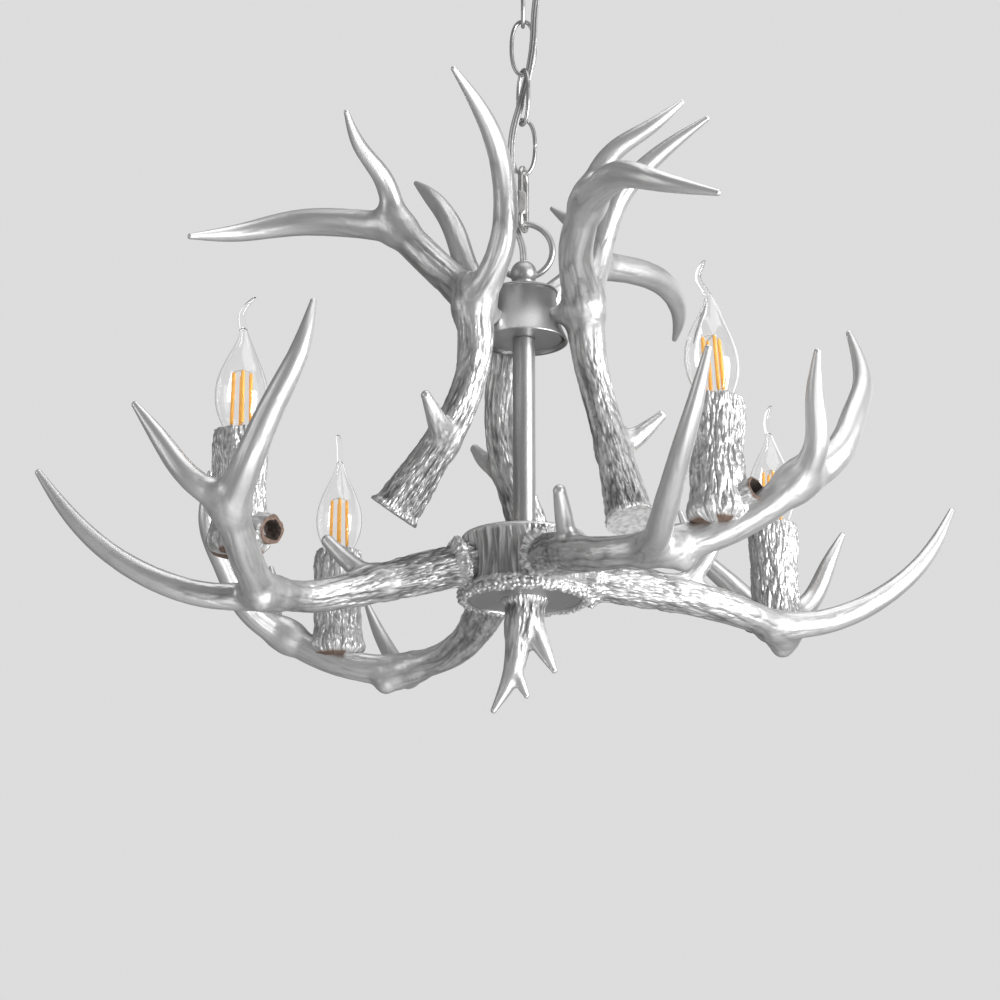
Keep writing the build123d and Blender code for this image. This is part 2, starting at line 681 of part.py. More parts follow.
corners = [Vector(x, y, hub_bottom + z) for x, y, z in cord_route]
runs = [after - before for before, after in zip(corners, corners[1:])]
bends = []
for before, after in zip(runs, runs[1:]):
    turn = math.radians(before.get_angle(after))
    bends.append(0.45 * min(before.length, after.length) / math.tan(turn / 2))
print("cord bend radii:", [round(radius, 1) for radius in bends])
cord_path = FilletPolyline(*corners, radius=bends)
cord = tube_along(cord_path, [cord_diameter / 2] * (cord_steps + 1), fine_sides)
cord_section = RegularPolygon(cord_diameter / 2, fine_sides)
print("cord length", round(cord_path.length, 1), "volume over section times length",
      round(cord.volume / (cord_section.area * cord_path.length), 4))
for piece, (high, low) in enumerate(zip(cord_cuts, cord_cuts[1:]), 1):
    stretch = bar(2 * canopy_diameter, hub_bottom + low, hub_bottom + high, 4)
    save((cord & stretch).solids()[0], f"supply_cord_{piece}")

for name, value in (
    ("hub_bottom", hub_bottom),
    ("loop_low_wire", loop_low_wire),
    ("link_pitch", link_pitch),
    ("quick_top", quick_top),
    ("quick_bottom", quick_bottom),
    ("ring_top", ring_top),
    ("ring_pivot", ring_pivot),
    ("lid_top", lid_top),
    ("cone_bottom", cone_bottom),
    ("hub_top", hub_top),
):
    print(name, round(value, 3))
for n, top in enumerate(link_tops, 1):
    print(f"link_{n}_top", round(top, 3))
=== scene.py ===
import math

import bpy
import numpy as np
from mathutils import Matrix, Vector


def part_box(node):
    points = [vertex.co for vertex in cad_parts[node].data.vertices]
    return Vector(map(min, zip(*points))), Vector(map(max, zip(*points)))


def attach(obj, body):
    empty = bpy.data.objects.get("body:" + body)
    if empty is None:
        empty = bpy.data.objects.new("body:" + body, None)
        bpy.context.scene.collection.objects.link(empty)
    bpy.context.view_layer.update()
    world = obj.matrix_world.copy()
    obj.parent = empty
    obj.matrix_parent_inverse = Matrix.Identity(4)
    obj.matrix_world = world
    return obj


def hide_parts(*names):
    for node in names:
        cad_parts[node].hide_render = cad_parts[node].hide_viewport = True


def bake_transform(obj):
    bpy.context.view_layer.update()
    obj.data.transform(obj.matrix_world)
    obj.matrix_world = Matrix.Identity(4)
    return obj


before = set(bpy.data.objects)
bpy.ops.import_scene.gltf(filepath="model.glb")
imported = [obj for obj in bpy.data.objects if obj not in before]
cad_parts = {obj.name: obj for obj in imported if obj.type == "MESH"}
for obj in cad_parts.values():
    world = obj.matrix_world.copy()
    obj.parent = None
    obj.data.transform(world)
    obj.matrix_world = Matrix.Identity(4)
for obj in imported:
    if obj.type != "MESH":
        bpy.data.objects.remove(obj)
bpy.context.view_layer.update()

mm = 0.001  # sizes below are in millimetres, the scene in metres


def levelsOf(node):
    # heights of a node's lower and upper end
    low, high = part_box(node)
    return low.z / mm, high.z / mm


hubLow, hubHigh = levelsOf("hub_barrel")
print("frame loaded, hub from", round(hubLow, 2), "to", round(hubHigh, 2))

# camera

lens = {"millimetres": 98.2, "sensor": 36.0, "place": (-17.0, -1839.0, -980.95), "pitchUp": 15.91}

cameraData = bpy.data.cameras.new("camera")
cameraData.lens = lens["millimetres"]
cameraData.sensor_width = lens["sensor"]
cameraData.clip_end = 50
cameraObject = bpy.data.objects.new("camera", cameraData)
cameraObject.location = [value * mm for value in lens["place"]]
cameraObject.rotation_euler = (math.radians(90 + lens["pitchUp"]), 0, 0)
bpy.context.scene.collection.objects.link(cameraObject)
bpy.context.scene.camera = cameraObject

# shader helpers


class Wire:
    # one output of a node; sums on it add Math nodes
    def __init__(self, finish, socket):
        self.finish, self.socket = finish, socket

    def sum(self, operation, *values):
        return self.finish.node("Math", {"operation": operation}, dict(enumerate(values)))

    def __add__(self, other):
        return self.sum("ADD", self, other)

    __radd__ = __add__

    def __sub__(self, other):
        return self.sum("SUBTRACT", self, other)

    def __rsub__(self, other):
        return self.sum("SUBTRACT", other, self)

    def __mul__(self, other):
        return self.sum("MULTIPLY", self, other)

    __rmul__ = __mul__

    def clamped(self):
        held = self.sum("ADD", self, 0.0)
        held.socket.node.use_clamp = True
        return held


class Finish:
    # one material under way
    def __init__(self, name):
        self.material = bpy.data.materials.new(name)
        self.material.use_nodes = True
        self.tree = self.material.node_tree
        self.tree.nodes.clear()

    def node(self, kind, settings, inputs, output=0):
        made = self.tree.nodes.new("ShaderNode" + kind)
        for key, value in settings.items():
            setattr(made, key, value)
        for key, value in inputs.items():
            if isinstance(value, Wire):
                self.tree.links.new(value.socket, made.inputs[key])
            else:
                made.inputs[key].default_value = value
        return Wire(self, made.outputs[output])

    def stretched(self, at, stretch):
        return self.node("Mapping", {}, {"Vector": at, "Scale": stretch})

    def noise(self, at, scale, detail=3.0, roughness=0.55, stretch=(1, 1, 1)):
        inputs = {
            "Vector": self.stretched(at, stretch), "Scale": scale, "Detail": detail, "Roughness": roughness,
        }
        return self.node("TexNoise", {"noise_dimensions": "3D"}, inputs)

    def mix(self, share, low, high):
        low = low if isinstance(low, Wire) else (*low, 1)
        high = high if isinstance(high, Wire) else (*high, 1)
        return self.node("Mix", {"data_type": "RGBA"}, {0: share, 6: low, 7: high}, output=2)

    def attribute(self, name, output="Fac"):
        return self.node("Attribute", {"attribute_name": name}, {}, output=output)

    def place(self):
        return self.node("TexCoord", {}, {}, output="Object")

    def bump(self, height, depth, strength=1.0, under=None):
        inputs = {"Height": height, "Distance": depth, "Strength": strength}
        if under is not None:
            inputs["Normal"] = under
        return self.node("Bump", {}, inputs)

    def principled(self, **sockets):
        named = {key.replace("_", " "): value for key, value in sockets.items()}
        shader = self.node("BsdfPrincipled", {}, named, output="BSDF")
        out = self.tree.nodes.new("ShaderNodeOutputMaterial")
        self.tree.links.new(shader.socket, out.inputs["Surface"])
        return self.material


def grey(value, warm=0.0):
    return (value * (1 + warm), value, value * (1 - warm))


# mesh helpers


def gridFaces(rows, columns, closedRows):
    # quads between each row and column and the next, points numbered row by row
    row, column = np.meshgrid(np.arange(rows if closedRows else rows - 1), np.arange(columns), indexing="ij")
    nextRow, nextColumn = (row + 1) % rows * columns, (column + 1) % columns
    row = row * columns
    corners = [row + column, row + nextColumn, nextRow + nextColumn, nextRow + column]
    return np.stack(corners, axis=-1).reshape(-1, 4)


def meshOf(name, points, faceSets, values=None):
    # faceSets are index arrays of quads or triangles
    # all turned over where the volume, a sixth of the sum of a·(b×c), is negative
    volume = 0.0
    for faces in faceSets:
        for second in range(1, faces.shape[1] - 1):
            a, b, c = points[faces[:, 0]], points[faces[:, second]], points[faces[:, second + 1]]
            volume += (a * np.cross(b, c)).sum()
    if volume < 0:
        faceSets = [faces[:, ::-1] for faces in faceSets]
    mesh = bpy.data.meshes.new(name)
    mesh.from_pydata((points * mm).tolist(), [], [face for faces in faceSets for face in faces.tolist()])
    for key, value in (values or {}).items():
        kind, field = ("FLOAT_VECTOR", "vector") if value.ndim == 2 else ("FLOAT", "value")
        held = mesh.attributes.new(key, kind, "POINT")
        held.data.foreach_set(field, np.ascontiguousarray(value, np.float32).ravel())
    mesh.shade_smooth()
    return mesh


def skin(name, grid, closedRows=False, values=None, sharp=None):
    # a grid of points, rows by columns, closed across its columns; open ends close on their middle points
    rows, columns, _ = grid.shape
    points = grid.reshape(-1, 3)
    sets = [gridFaces(rows, columns, closedRows)]
    values = {key: value.reshape(rows * columns, -1).squeeze() for key, value in (values or {}).items()}
    if not closedRows:
        column = np.arange(columns)
        following = (column + 1) % columns
        start, end, last = len(points), len(points) + 1, (rows - 1) * columns
        sets.append(np.stack([np.full(columns, start), following, column], axis=1))
        sets.append(np.stack([np.full(columns, end), last + column, last + following], axis=1))
        points = np.vstack([points, grid[0].mean(0), grid[-1].mean(0)])
        for key, value in values.items():
            ends = np.array([value[:columns].mean(0), value[-columns:].mean(0)])
            values[key] = np.concatenate([value, ends])
    mesh = meshOf(name, points, sets, values)
    if sharp:
        mesh.set_sharp_from_angle(angle=math.radians(sharp))
    return mesh


def piece(name, meshes, material, body, *nodes):
    # one object from one or more meshes, riding on a body and standing for CAD nodes
    parts = []
    for mesh in meshes if isinstance(meshes, list) else [meshes]:
        part = bpy.data.objects.new(name, mesh)
        bpy.context.scene.collection.objects.link(part)
        if not mesh.materials:
            mesh.materials.append(material)
        parts.append(part)
    made = parts[0]
    if len(parts) > 1:
        with bpy.context.temp_override(active_object=made, selected_editable_objects=parts):
            bpy.ops.object.join()
    made.name = name
    if body:
        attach(made, body)
    if nodes:
        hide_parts(*nodes)
    return made


def pointsOf(mesh):
    points = np.empty(len(mesh.vertices) * 3)
    mesh.vertices.foreach_get("co", points)
    return points.reshape(-1, 3) / mm


def travelOf(line):
    # distance from the line's start to each point, along the line
    return np.concatenate([[0], np.cumsum(np.linalg.norm(np.diff(line, axis=0), axis=1))])


def smoothLine(points, count):
    # natural cubic spline: a·p + b·q + ((a³−a)·m + (b³−b)·n)·h²/6 on each run of length h,
    # m and n the second slopes at its ends
    points = np.array(points, float)
    if len(points) == 2:
        return points[0] + np.linspace(0, 1, count)[:, None] * (points[1] - points[0])
    knots = travelOf(points)
    steps = np.diff(knots)
    inner = np.arange(1, len(points) - 1)
    system, right = np.eye(len(points)), np.zeros_like(points)
    system[inner, inner - 1], system[inner, inner + 1] = steps[:-1], steps[1:]
    system[inner, inner] = 2 * (steps[:-1] + steps[1:])
    right[1:-1] = 6 * np.diff(np.diff(points, axis=0) / steps[:, None], axis=0)
    second = np.linalg.solve(system, right)
    at = np.linspace(0, knots[-1], count)
    run = np.clip(np.searchsorted(knots, at, side="right") - 1, 0, len(steps) - 1)
    h = steps[run][:, None]
    b = (at - knots[run])[:, None] / h
    a = 1 - b
    bent = (a**3 - a) * second[run] + (b**3 - b) * second[run + 1]
    return a * points[run] + b * points[run + 1] + bent * h**2 / 6


def framesOf(line, closed=False, reference=None):
    # at each point: the way along, the side square to it nearest the reference, and the way square to both
    along = (np.roll(line, -1, 0) - np.roll(line, 1, 0)) if closed else np.gradient(line, axis=0)
    along /= np.linalg.norm(along, axis=1)[:, None]
    if reference is None:
        reference = np.linalg.svd(along - 1e-9)[2][-1]  # the way that the line turns least towards
    side = reference - (along * reference).sum(1)[:, None] * along
    side /= np.linalg.norm(side, axis=1)[:, None]
    return along, side, np.cross(along, side)


def tubeGrid(line, radii, sides, closed=False, reference=None):
    # a tube: line + radius·(cos t·side + sin t·third), t from 0 to 2π
    _, side, third = framesOf(line, closed, reference)
    turn = np.linspace(0, 2 * math.pi, sides, endpoint=False)[None, :, None]
    radii = np.broadcast_to(radii, len(line))
    return line[:, None] + radii[:, None, None] * (np.cos(turn) * side[:, None] + np.sin(turn) * third[:, None])


def turnedGrid(profile, sides, at=(0, 0, 0)):
    # a turned surface: (r·cos t, r·sin t, z) for each (r, z) of the profile
    profile = np.array(profile, float)
    turn = np.linspace(0, 2 * math.pi, sides, endpoint=False)
    r, z = profile[:, :1], profile[:, 1:]
    return np.stack([r * np.cos(turn), r * np.sin(turn), z + 0 * turn], axis=-1) + np.array(at)


def turnedPiece(name, profile, sides, at, material, body, node, closed=False, sharp=50):
    # a piece turned from one profile; a closed one goes round a bore and back to its first point
    mesh = skin(name, turnedGrid(profile, sides, at), closedRows=closed, sharp=sharp)
    piece(name, mesh, material, body, node)


def eased(profile, radius):
    # the profile with each corner cut back by up to radius and rounded: p(1−t)² + 2c·t(1−t) + q·t²
    profile = np.array(profile, float)
    out = [profile[:1]]
    t = np.linspace(0, 1, 5)[:, None]
    for before, corner, after in zip(profile, profile[1:], profile[2:]):
        back, on = before - corner, after - corner
        backLength, onLength = np.linalg.norm(back), np.linalg.norm(on)
        reach = min(radius, 0.45 * backLength, 0.45 * onLength)
        p = corner + back / backLength * reach
        q = corner + on / onLength * reach
        out.append(p * (1 - t) ** 2 + 2 * corner * t * (1 - t) + q * t**2)
    return np.vstack(out + [profile[-1:]])


def refined(profile, step):
    # the profile with points no further apart than step, on straight runs
    profile = np.array(profile, float)
    lengths = travelOf(profile)
    at = np.unique(np.concatenate([lengths, np.arange(0, lengths[-1], step)]).round(4))
    return np.stack([np.interp(at, lengths, profile[:, 0]), np.interp(at, lengths, profile[:, 1])], axis=1)


def hashed(cells, seed):
    # a number from 0 to 1 for each whole-numbered place: the fraction of 43758.5·sin of a weighted sum
    mixed = cells @ np.array([127.1, 311.7, 74.7]) + 19.19 * seed
    return np.abs(np.sin(mixed) * 43758.5453) % 1


def wavy(points, seed=0):
    # smooth noise from −1 to 1: corner numbers blended with 3t²−2t³ on each axis
    low = np.floor(points)
    share = points - low
    share = share * share * (3 - 2 * share)
    total = np.zeros(len(points))
    for corner in np.ndindex(2, 2, 2):
        weight = np.prod(np.where(np.array(corner) == 1, share, 1 - share), axis=1)
        total += weight * hashed(low + np.array(corner), seed)
    return 2 * total - 1


def beads(points, seed=0, size=0.62):
    # round lumps on scattered centres, one to a cell: (1 − d²/size²) held above 0, d the nearest distance
    low = np.floor(points)
    nearest = np.full(len(points), 9.0)
    for corner in np.ndindex(3, 3, 3):
        cell = low + np.array(corner) - 1
        centre = cell + 0.15 + 0.7 * np.stack([hashed(cell, seed + n) for n in (1, 2, 3)], axis=1)
        nearest = np.minimum(nearest, ((points - centre) ** 2).sum(1))
    return np.clip(1 - nearest / size**2, 0, 1)


def furrows(points, seed=0, power=4):
    # narrow valleys where smooth noise crosses zero: −(1 − |noise|)^power
    return -((1 - np.abs(wavy(points, seed))) ** power)


def drifted(grain, reach, scale, seed, ways=(1, -1, 0)):
    # grain carried to and fro by smooth noise, so that furrows wander
    return grain + reach * wavy(grain / scale, seed)[:, None] * ways


def spokes(points):
    # distance from the upright axis, and the way straight out from it
    radial = np.maximum(np.hypot(points[:, 0], points[:, 1]), 1e-6)
    return radial, np.column_stack([points[:, 0] / radial, points[:, 1] / radial, 0 * radial])


def upright(heights):
    return np.column_stack([0 * heights, 0 * heights, heights])


def turnZ(angle):
    return Matrix.Rotation(math.radians(angle), 4, "Z")


def moved(points, matrix):
    matrix = np.array(matrix)
    return points @ matrix[:3, :3].T + matrix[:3, 3]


# finishes

# shadeTone is the share of the tone left under the deepest painted shade
resin = {
    "tone": 0.72, "shadeTone": 0.28, "ridgeTone": 1.12, "metal": 0.86, "roughness": 0.39,
    "scratches": 0.0007, "grit": 0.00001, "crust": 0.0013,  # depths in metres
}


def silveredResin(name, bare=False):
    # sprayed silver over cast resin: painted shade darkens the hollows and the crevices between the pearls, and
    # random patches are a little brighter
    finish = Finish(name)
    at = finish.place()
    grain = finish.attribute("grain", "Vector")
    paintedShadeAndMottle = finish.attribute("paintedShadeAndMottle")
    bark = finish.attribute("bark")
    mottle = finish.noise(at, 42.0)
    fine = finish.noise(grain, 0.55, 4.0, 0.6, (1, 1, 0.16))
    specks = finish.noise(at, 700.0, 2.0)
    lumps = finish.node("TexVoronoi", {}, {"Vector": finish.stretched(grain, (1, 1, 0.3)), "Scale": 0.5})
    # painted shade between the pearls of the bark
    creviceShade = ((lumps - 0.42) * 2.6).clamped() * bark
    # painted shade from the hollows and the crevices, with the fine grain's random tone on top; it also
    # roughens the paint
    paintedShadeAndGrain = (paintedShadeAndMottle * 0.85 + creviceShade * 0.55 + (fine - 0.5) * (bark * 0.5 + 0.06) - 0.05).clamped()
    paint = finish.mix(paintedShadeAndGrain, grey(resin["tone"]), grey(resin["tone"] * resin["shadeTone"]))
    paint = finish.mix(((mottle - 0.5) * 0.8).clamped(), paint, grey(resin["tone"] * resin["ridgeTone"]))
    rough = (specks - 0.5) * 0.01 + paintedShadeAndGrain * 0.2 + resin["roughness"] + (mottle - 0.5) * 0.1
    rough = rough.clamped()
    metal = resin["metal"]
    if bare:
        raw = finish.attribute("bare")
        wood = finish.mix(finish.noise(at, 260.0), (0.05, 0.03, 0.022), (0.24, 0.16, 0.12))
        # painted shade: deep in the twig's hole the bare resin turns almost black
        wood = finish.mix(((paintedShadeAndMottle - 0.6) * 2.6).clamped(), wood, (0.02, 0.013, 0.01))
        paint = finish.mix(raw, paint, wood)
        rough = rough + raw * 0.25
        metal = metal - raw * metal
    scratch = finish.bump(fine * (bark * 0.95 + 0.015), resin["scratches"], 0.6)
    grit = finish.bump(specks, resin["grit"], 0.4, scratch)
    pearls = (1 - lumps * 1.25).clamped()
    crust = finish.bump(pearls * bark, resin["crust"], 1.0, grit)
    return finish.principled(Base_Color=paint, Roughness=rough, Metallic=metal, Normal=crust)


def sandSilver(name, tone):
    # fine sand-textured silver paint on sheet metal
    finish = Finish(name)
    at = finish.place()
    sand = finish.noise(at, 1500.0, 2.0, 0.7)
    cloud = finish.noise(at, 30.0)
    paint = finish.mix(((sand - 0.3) * 1.8).clamped(), grey(tone * 0.8), grey(tone * 1.1))
    rough = (0.36 + (cloud - 0.5) * 0.12 + (sand - 0.5) * 0.15).clamped()
    grains = finish.bump(sand, 0.00022, 0.6)
    return finish.principled(Base_Color=paint, Roughness=rough, Metallic=0.85, Normal=grains)


def wireMetal(name, tone, roughness, warm=0.0):
    # drawn and plated wire: faint clouds and scuffs along it
    finish = Finish(name)
    at = finish.place()
    cloud = finish.noise(at, 160.0, 4.0)
    scuff = finish.noise(at, 700.0, 3.0, 0.6, (1, 1, 0.2))
    paint = finish.mix(((cloud - 0.35) * 2.2).clamped(), grey(tone * 0.78, warm), grey(tone * 1.08, warm))
    rough = (roughness + (scuff - 0.5) * 0.22).clamped()
    scuffs = finish.bump(scuff, 0.0001, 0.4)
    return finish.principled(Base_Color=paint, Roughness=rough, Metallic=0.95, Normal=scuffs)


def mouldedPlastic(name, colour, roughness=0.42):
    finish = Finish(name)
    cloud = finish.noise(finish.place(), 300.0)
    tint = finish.mix(cloud, colour, tuple(0.7 * value for value in colour))
    rough = (roughness + (cloud - 0.5) * 0.1).clamped()
    dimples = finish.bump(cloud, 0.0001, 0.3)
    return finish.principled(Base_Color=tint, Roughness=rough, Metallic=0.0, Normal=dimples)


def clearGlass(name):
    finish = Finish(name)
    return finish.principled(Base_Color=(1, 1, 1, 1), Roughness=0.0, Transmission_Weight=1.0, IOR=1.45)


def amberStrip(name):
    # phosphor over a row of tiny lamps, which are not lit; the strips carry a faint painted glow
    finish = Finish(name)
    lumps = finish.noise(finish.place(), 900.0, 2.0)
    tint = finish.mix(lumps, (0.78, 0.34, 0.04), (0.95, 0.5, 0.09))
    return finish.principled(
        Base_Color=tint, Roughness=0.45, Emission_Color=tint, Emission_Strength=0.3,
        Normal=finish.bump(lumps, 0.0002, 0.4),
    )


antlerSilver = silveredResin("antlerSilver")
holderSilver = silveredResin("holderSilver", bare=True)
metalSilver = sandSilver("metalSilver", 0.5)
chainSilver = wireMetal("chainSilver", 0.6, 0.33)
zincMetal = wireMetal("zincMetal", 0.58, 0.3, 0.01)
capMetal = wireMetal("capMetal", 0.62, 0.25, 0.03)
blackPlastic = mouldedPlastic("blackPlastic", (0.03, 0.03, 0.03))
whiteStem = mouldedPlastic("whiteStem", (0.75, 0.76, 0.76), 0.2)
bulbGlass = clearGlass("bulbGlass")
amber = amberStrip("amberStrip")

print("finishes made")

# supply cord: flat twin, woven through the links

cord = {
    "width": 5.5, "thickness": 2.4, "waist": 0.45,
    "route": [  # across, away, height above the hub's lower face
        (15.407, -7.185, 507.95), (15.407, -7.185, 486), (8.5, -6, 452), (7.5, -7, 414), (0, -2, 381),
        (-9, -7, 347), (-8.5, -5.5, 320), (-8.5, 0, 298), (-6, 6, 281),
        (0, 0.5, 264), (0, 0, 246), (0.4, 0, 230),
    ],
    "cuts": [460, 421, 381.5, 342, 309, 272],  # heights at the chain's joints
    "bodies": [
        "ceiling_fitting", "chain_1", "chain_2", "chain_3", "chain_4", "quick_link_body", "ring", "fixture",
    ],
}


def cordLine(points):
    # the route's own spline, read back as points
    curve = bpy.data.curves.new("cordLine", "CURVE")
    curve.dimensions = "3D"
    spline = curve.splines.new("NURBS")
    spline.points.add(len(points) - 1)
    for point, place in zip(spline.points, points):
        point.co = (*[value * mm for value in place], 1)
    spline.order_u = 3
    spline.use_endpoint_u = True
    spline.resolution_u = 20
    route = bpy.data.objects.new("cordLine", curve)
    bpy.context.scene.collection.objects.link(route)
    line = pointsOf(bpy.data.meshes.new_from_object(route))
    bpy.data.objects.remove(route)
    return line


def cordJacket(name):
    # clear jacket over two silvered strands: fine lays of wire show through
    finish = Finish(name)
    strands = {"Vector": finish.attribute("lay", "Vector"), "Scale": 0.75, "Distortion": 0.6}
    wires = finish.node("TexWave", {"bands_direction": "DIAGONAL"}, strands, output=1)
    tint = finish.mix(wires, grey(0.3), grey(0.56))
    # painted shade: darker along the grooves between the ridges, which the "seam" value marks
    tint = finish.mix(finish.attribute("seam"), tint, grey(0.12))
    return finish.principled(
        Base_Color=tint, Roughness=0.24, Metallic=0.35, Coat_Weight=0.6, Coat_Roughness=0.12,
        Normal=finish.bump(wires, 0.0001, 0.35),
    )


cordFinish = cordJacket("cordJacket")
wholeLine = cordLine([(x, y, z + hubLow) for x, y, z in cord["route"]])
heights = wholeLine[:, 2] - hubLow
edges = [heights[0] + 1, *cord["cuts"], heights[-1] - 1]
# section: (w·cos t, h·sin t·(1 − waist·e^(−50(|cos t| − ⅓)²))), three ridges with grooves between them
turn = np.linspace(0, 2 * math.pi, 36, endpoint=False)
across = cord["width"] / 2 * np.cos(turn)
grooved = np.exp(-50 * (np.abs(np.cos(turn)) - 1 / 3) ** 2)
thick = cord["thickness"] / 2 * np.sin(turn) * (1 - cord["waist"] * grooved)
for number, (high, low) in enumerate(zip(edges, edges[1:]), 1):
    line = wholeLine[(heights < high) & (heights > low)]
    if number > 1:
        line = np.vstack([[np.interp(-high, -heights, axis) for axis in wholeLine.T], line])
    if number < len(edges) - 1:
        line = np.vstack([line, [np.interp(-low, -heights, axis) for axis in wholeLine.T]])
    # flat side to the front, twisting a little to and fro
    swing = 0.1 + 0.35 * np.sin((line[:, 2] - hubLow - 230) / 38)
    _, side, third = framesOf(line, reference=np.stack([np.cos(swing), np.sin(swing), 0 * swing], axis=1))
    grid = line[:, None] + across[None, :, None] * side[:, None] + thick[None, :, None] * third[:, None]
    travel = travelOf(line)
    down = travel[:, None] + 300 * number
    lay = np.stack([across + 0 * down, thick + 0 * down, down + 0 * across], axis=-1)
    name = f"cord_{number}"
    # the "seam" value marks the grooves, where the jacket carries painted shade
    mesh = skin(name, grid, values={"lay": lay, "seam": grooved + 0 * down})
    stretch = piece(name, mesh, cordFinish, None, f"supply_cord_{number}")
    above, below = cord["bodies"][number - 1 : number + 1]
    line[0] * mm
    line[-1] * mm
    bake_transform(stretch)
    line[0] * mm
    line * mm

print("cord made")

# antlers: each tine has its middle line, radii, bark at start and end, grooves at start and end
# each pose is a bearing, two leans about the pivot in the order given, a lift and a reach out

casting = {
    "voxel": 1.0, "spacing": 1.4,  # between places on a middle line
    "cover": 0.9, "thinnest": 1.6,  # how far a blank stands out from its tine, and its least radius
}
lowerAntler = {
    "web": 7.0,  # how far the forks' webs reach
    "tines": {
        "beam": (
            [(38, -4, 24), (100, -24, 9), (155, -29, -5), (206, -7, -11)],
            [15, 15, 13.5, 12, 11, 12], (1.0, 0.15), (0.9, 0.6)),
        "longTine": (
            [(188, -17, -10), (223, -32, -10), (258, -46, 1), (294, -56, 24), (318, -59, 48), (336, -60, 72)],
            [11, 9, 8.2, 7, 5.6, 2.4], (0.15, 0.0), (0.45, 0.12)),
        "branch": (
            [(202, -9, -11), (231, 28, 1), (256, 59, 25)],
            [12, 11, 11, 11.5], (0.12, 0.06), (0.4, 0.3)),
        "innerTine": (
            [(253, 54, 21), (254, 90, 44), (247, 111, 72), (237, 129, 101), (226, 131, 136)],
            [11.5, 10.5, 9, 7.8, 6, 2.2], (0.05, 0.0), (0.35, 0.08)),
        "outerTine": (
            [(252, 56, 22), (280, 54, 39), (294, 46, 63), (309, 40, 88)],
            [11, 8.6, 7.4, 5.8, 2.4], (0.05, 0.0), (0.3, 0.08)),
        "browTine": ([(101, -22, 8), (118, -34, 21), (132, -45, 41)], [9.5, 7, 6, 4.4], (0.3, 0.0), (0.5, 0.1)),
        "heelKnob": ([(204, -6, -14), (205.5, -2, -20.5)], [10, 9, 6.5], (0.2, 0.1), (0.5, 0.3)),
    },
    "burr": (12.0, 4.6, 5.0),  # place along the beam, height and width of the pearled collar
    "pivot": (0, 0, 22), "leanOrder": "XY",
    "poses": [(210, 4, 2, 4, -3), (299, 4, -1, 1, -3), (28, -7, -4, -5, 2), (121, -3, 0, 1, 2)],
}
upperAntler = {
    "web": 7.0,
    "tines": {
        "beam": (
            [(86, 12, 57), (66, 22, 96), (49, 28, 135), (41, 23, 178), (44, 14, 221)],
            [17, 14.5, 13, 12, 12, 13.5, 14], (1.0, 0.22), (0.9, 0.75)),
        "stem": (
            [(43, 16, 214), (66, -19, 246), (96, -38, 277)],
            [14, 12.5, 12, 11.5], (0.2, 0.05), (0.7, 0.35)),
        "longTine": (
            [(90, -34, 272), (126, -60, 277), (159, -79, 276), (196, -86, 265), (233, -77, 254)],
            [12, 10.5, 10.2, 8.8, 6.2, 2.2], (0.05, 0.0), (0.35, 0.08)),
        "shortTine": (
            [(92, -36, 272), (107, -28, 305), (128, -15, 321), (144, 2, 339)],
            [10.5, 8.2, 6.6, 5, 2], (0.05, 0.0), (0.35, 0.08)),
        "tallTine": (
            [(42, 16, 212), (34, 43, 248), (39, 57, 289), (60, 77, 324), (92, 98, 351)],
            [12.5, 9.8, 8.8, 7.8, 6, 2], (0.08, 0.0), (0.5, 0.08)),
        "spur": ([(58, 25, 108), (68, 42, 119), (80, 54, 133)], [9, 8, 6.2, 3.6], (0.5, 0.1), (0.6, 0.2)),
        "seatLobe": ([(45, 16, 205), (23, 8, 207)], [11, 8, 5.5], (0.1, 0.1), (0.5, 0.3)),
    },
    "burr": (1.5, 1.8, 3.0),
    "cut": True,  # the beam's lower end is sawn flat
    "pivot": (40, 0, 185), "leanOrder": "YX",
    "poses": [(196.5, -3, -7, -1, 1), (318.5, 7, 9, -3, 0), (78, -2, -1, 5, -1)],
}
crown = {
    "web": 2.5,
    "tines": {
        "stub": ([(0, 0, 4), (0, 0, -9), (-1, 0, -20)], [15.5, 14, 12], (0.8, 0.5), (1.2, 1.0)),
        "leftTine": (
            [(-4, 0, -16), (-8, -2, -48), (-21, -4, -76)],
            [10.5, 8.6, 6, 2.2], (0.2, 0.0), (0.6, 0.1)),
        "middleTine": ([(-8, -2, -46), (-3, -4, -57), (1, -5, -66)], [5, 4.8, 4, 2], (0.0, 0.0), (0.3, 0.1)),
        "rightTine": (
            [(4, -1, -16), (12, -3, -32), (20, -4, -48)],
            [10, 7.8, 5.6, 2.2], (0.1, 0.0), (0.5, 0.1)),
    },
    "burr": (3.0, 1.4, 3.2),
    "pivot": (0, 0, 0), "leanOrder": "XY",
    "poses": [(0, 0, 0, 0, 0)],
}


def tineOf(points, radii, bark, groove):
    # a tine's middle line with its frames, and its radius on a spline through the radii given
    length = travelOf(smoothLine(points, 40))[-1]
    line = smoothLine(points, max(10, int(length / casting["spacing"])))
    along, side, third = framesOf(line)
    reach = travelOf(line)
    spread = np.linspace(0, length / 4, len(radii))
    girth = smoothLine(np.stack([spread, radii], axis=1), 200)[:, 1]
    return {
        "line": line, "along": along, "side": side, "third": third, "reach": reach,
        "radius": np.interp(reach / reach[-1], np.linspace(0, 1, 200), girth), "bark": bark, "groove": groove,
    }


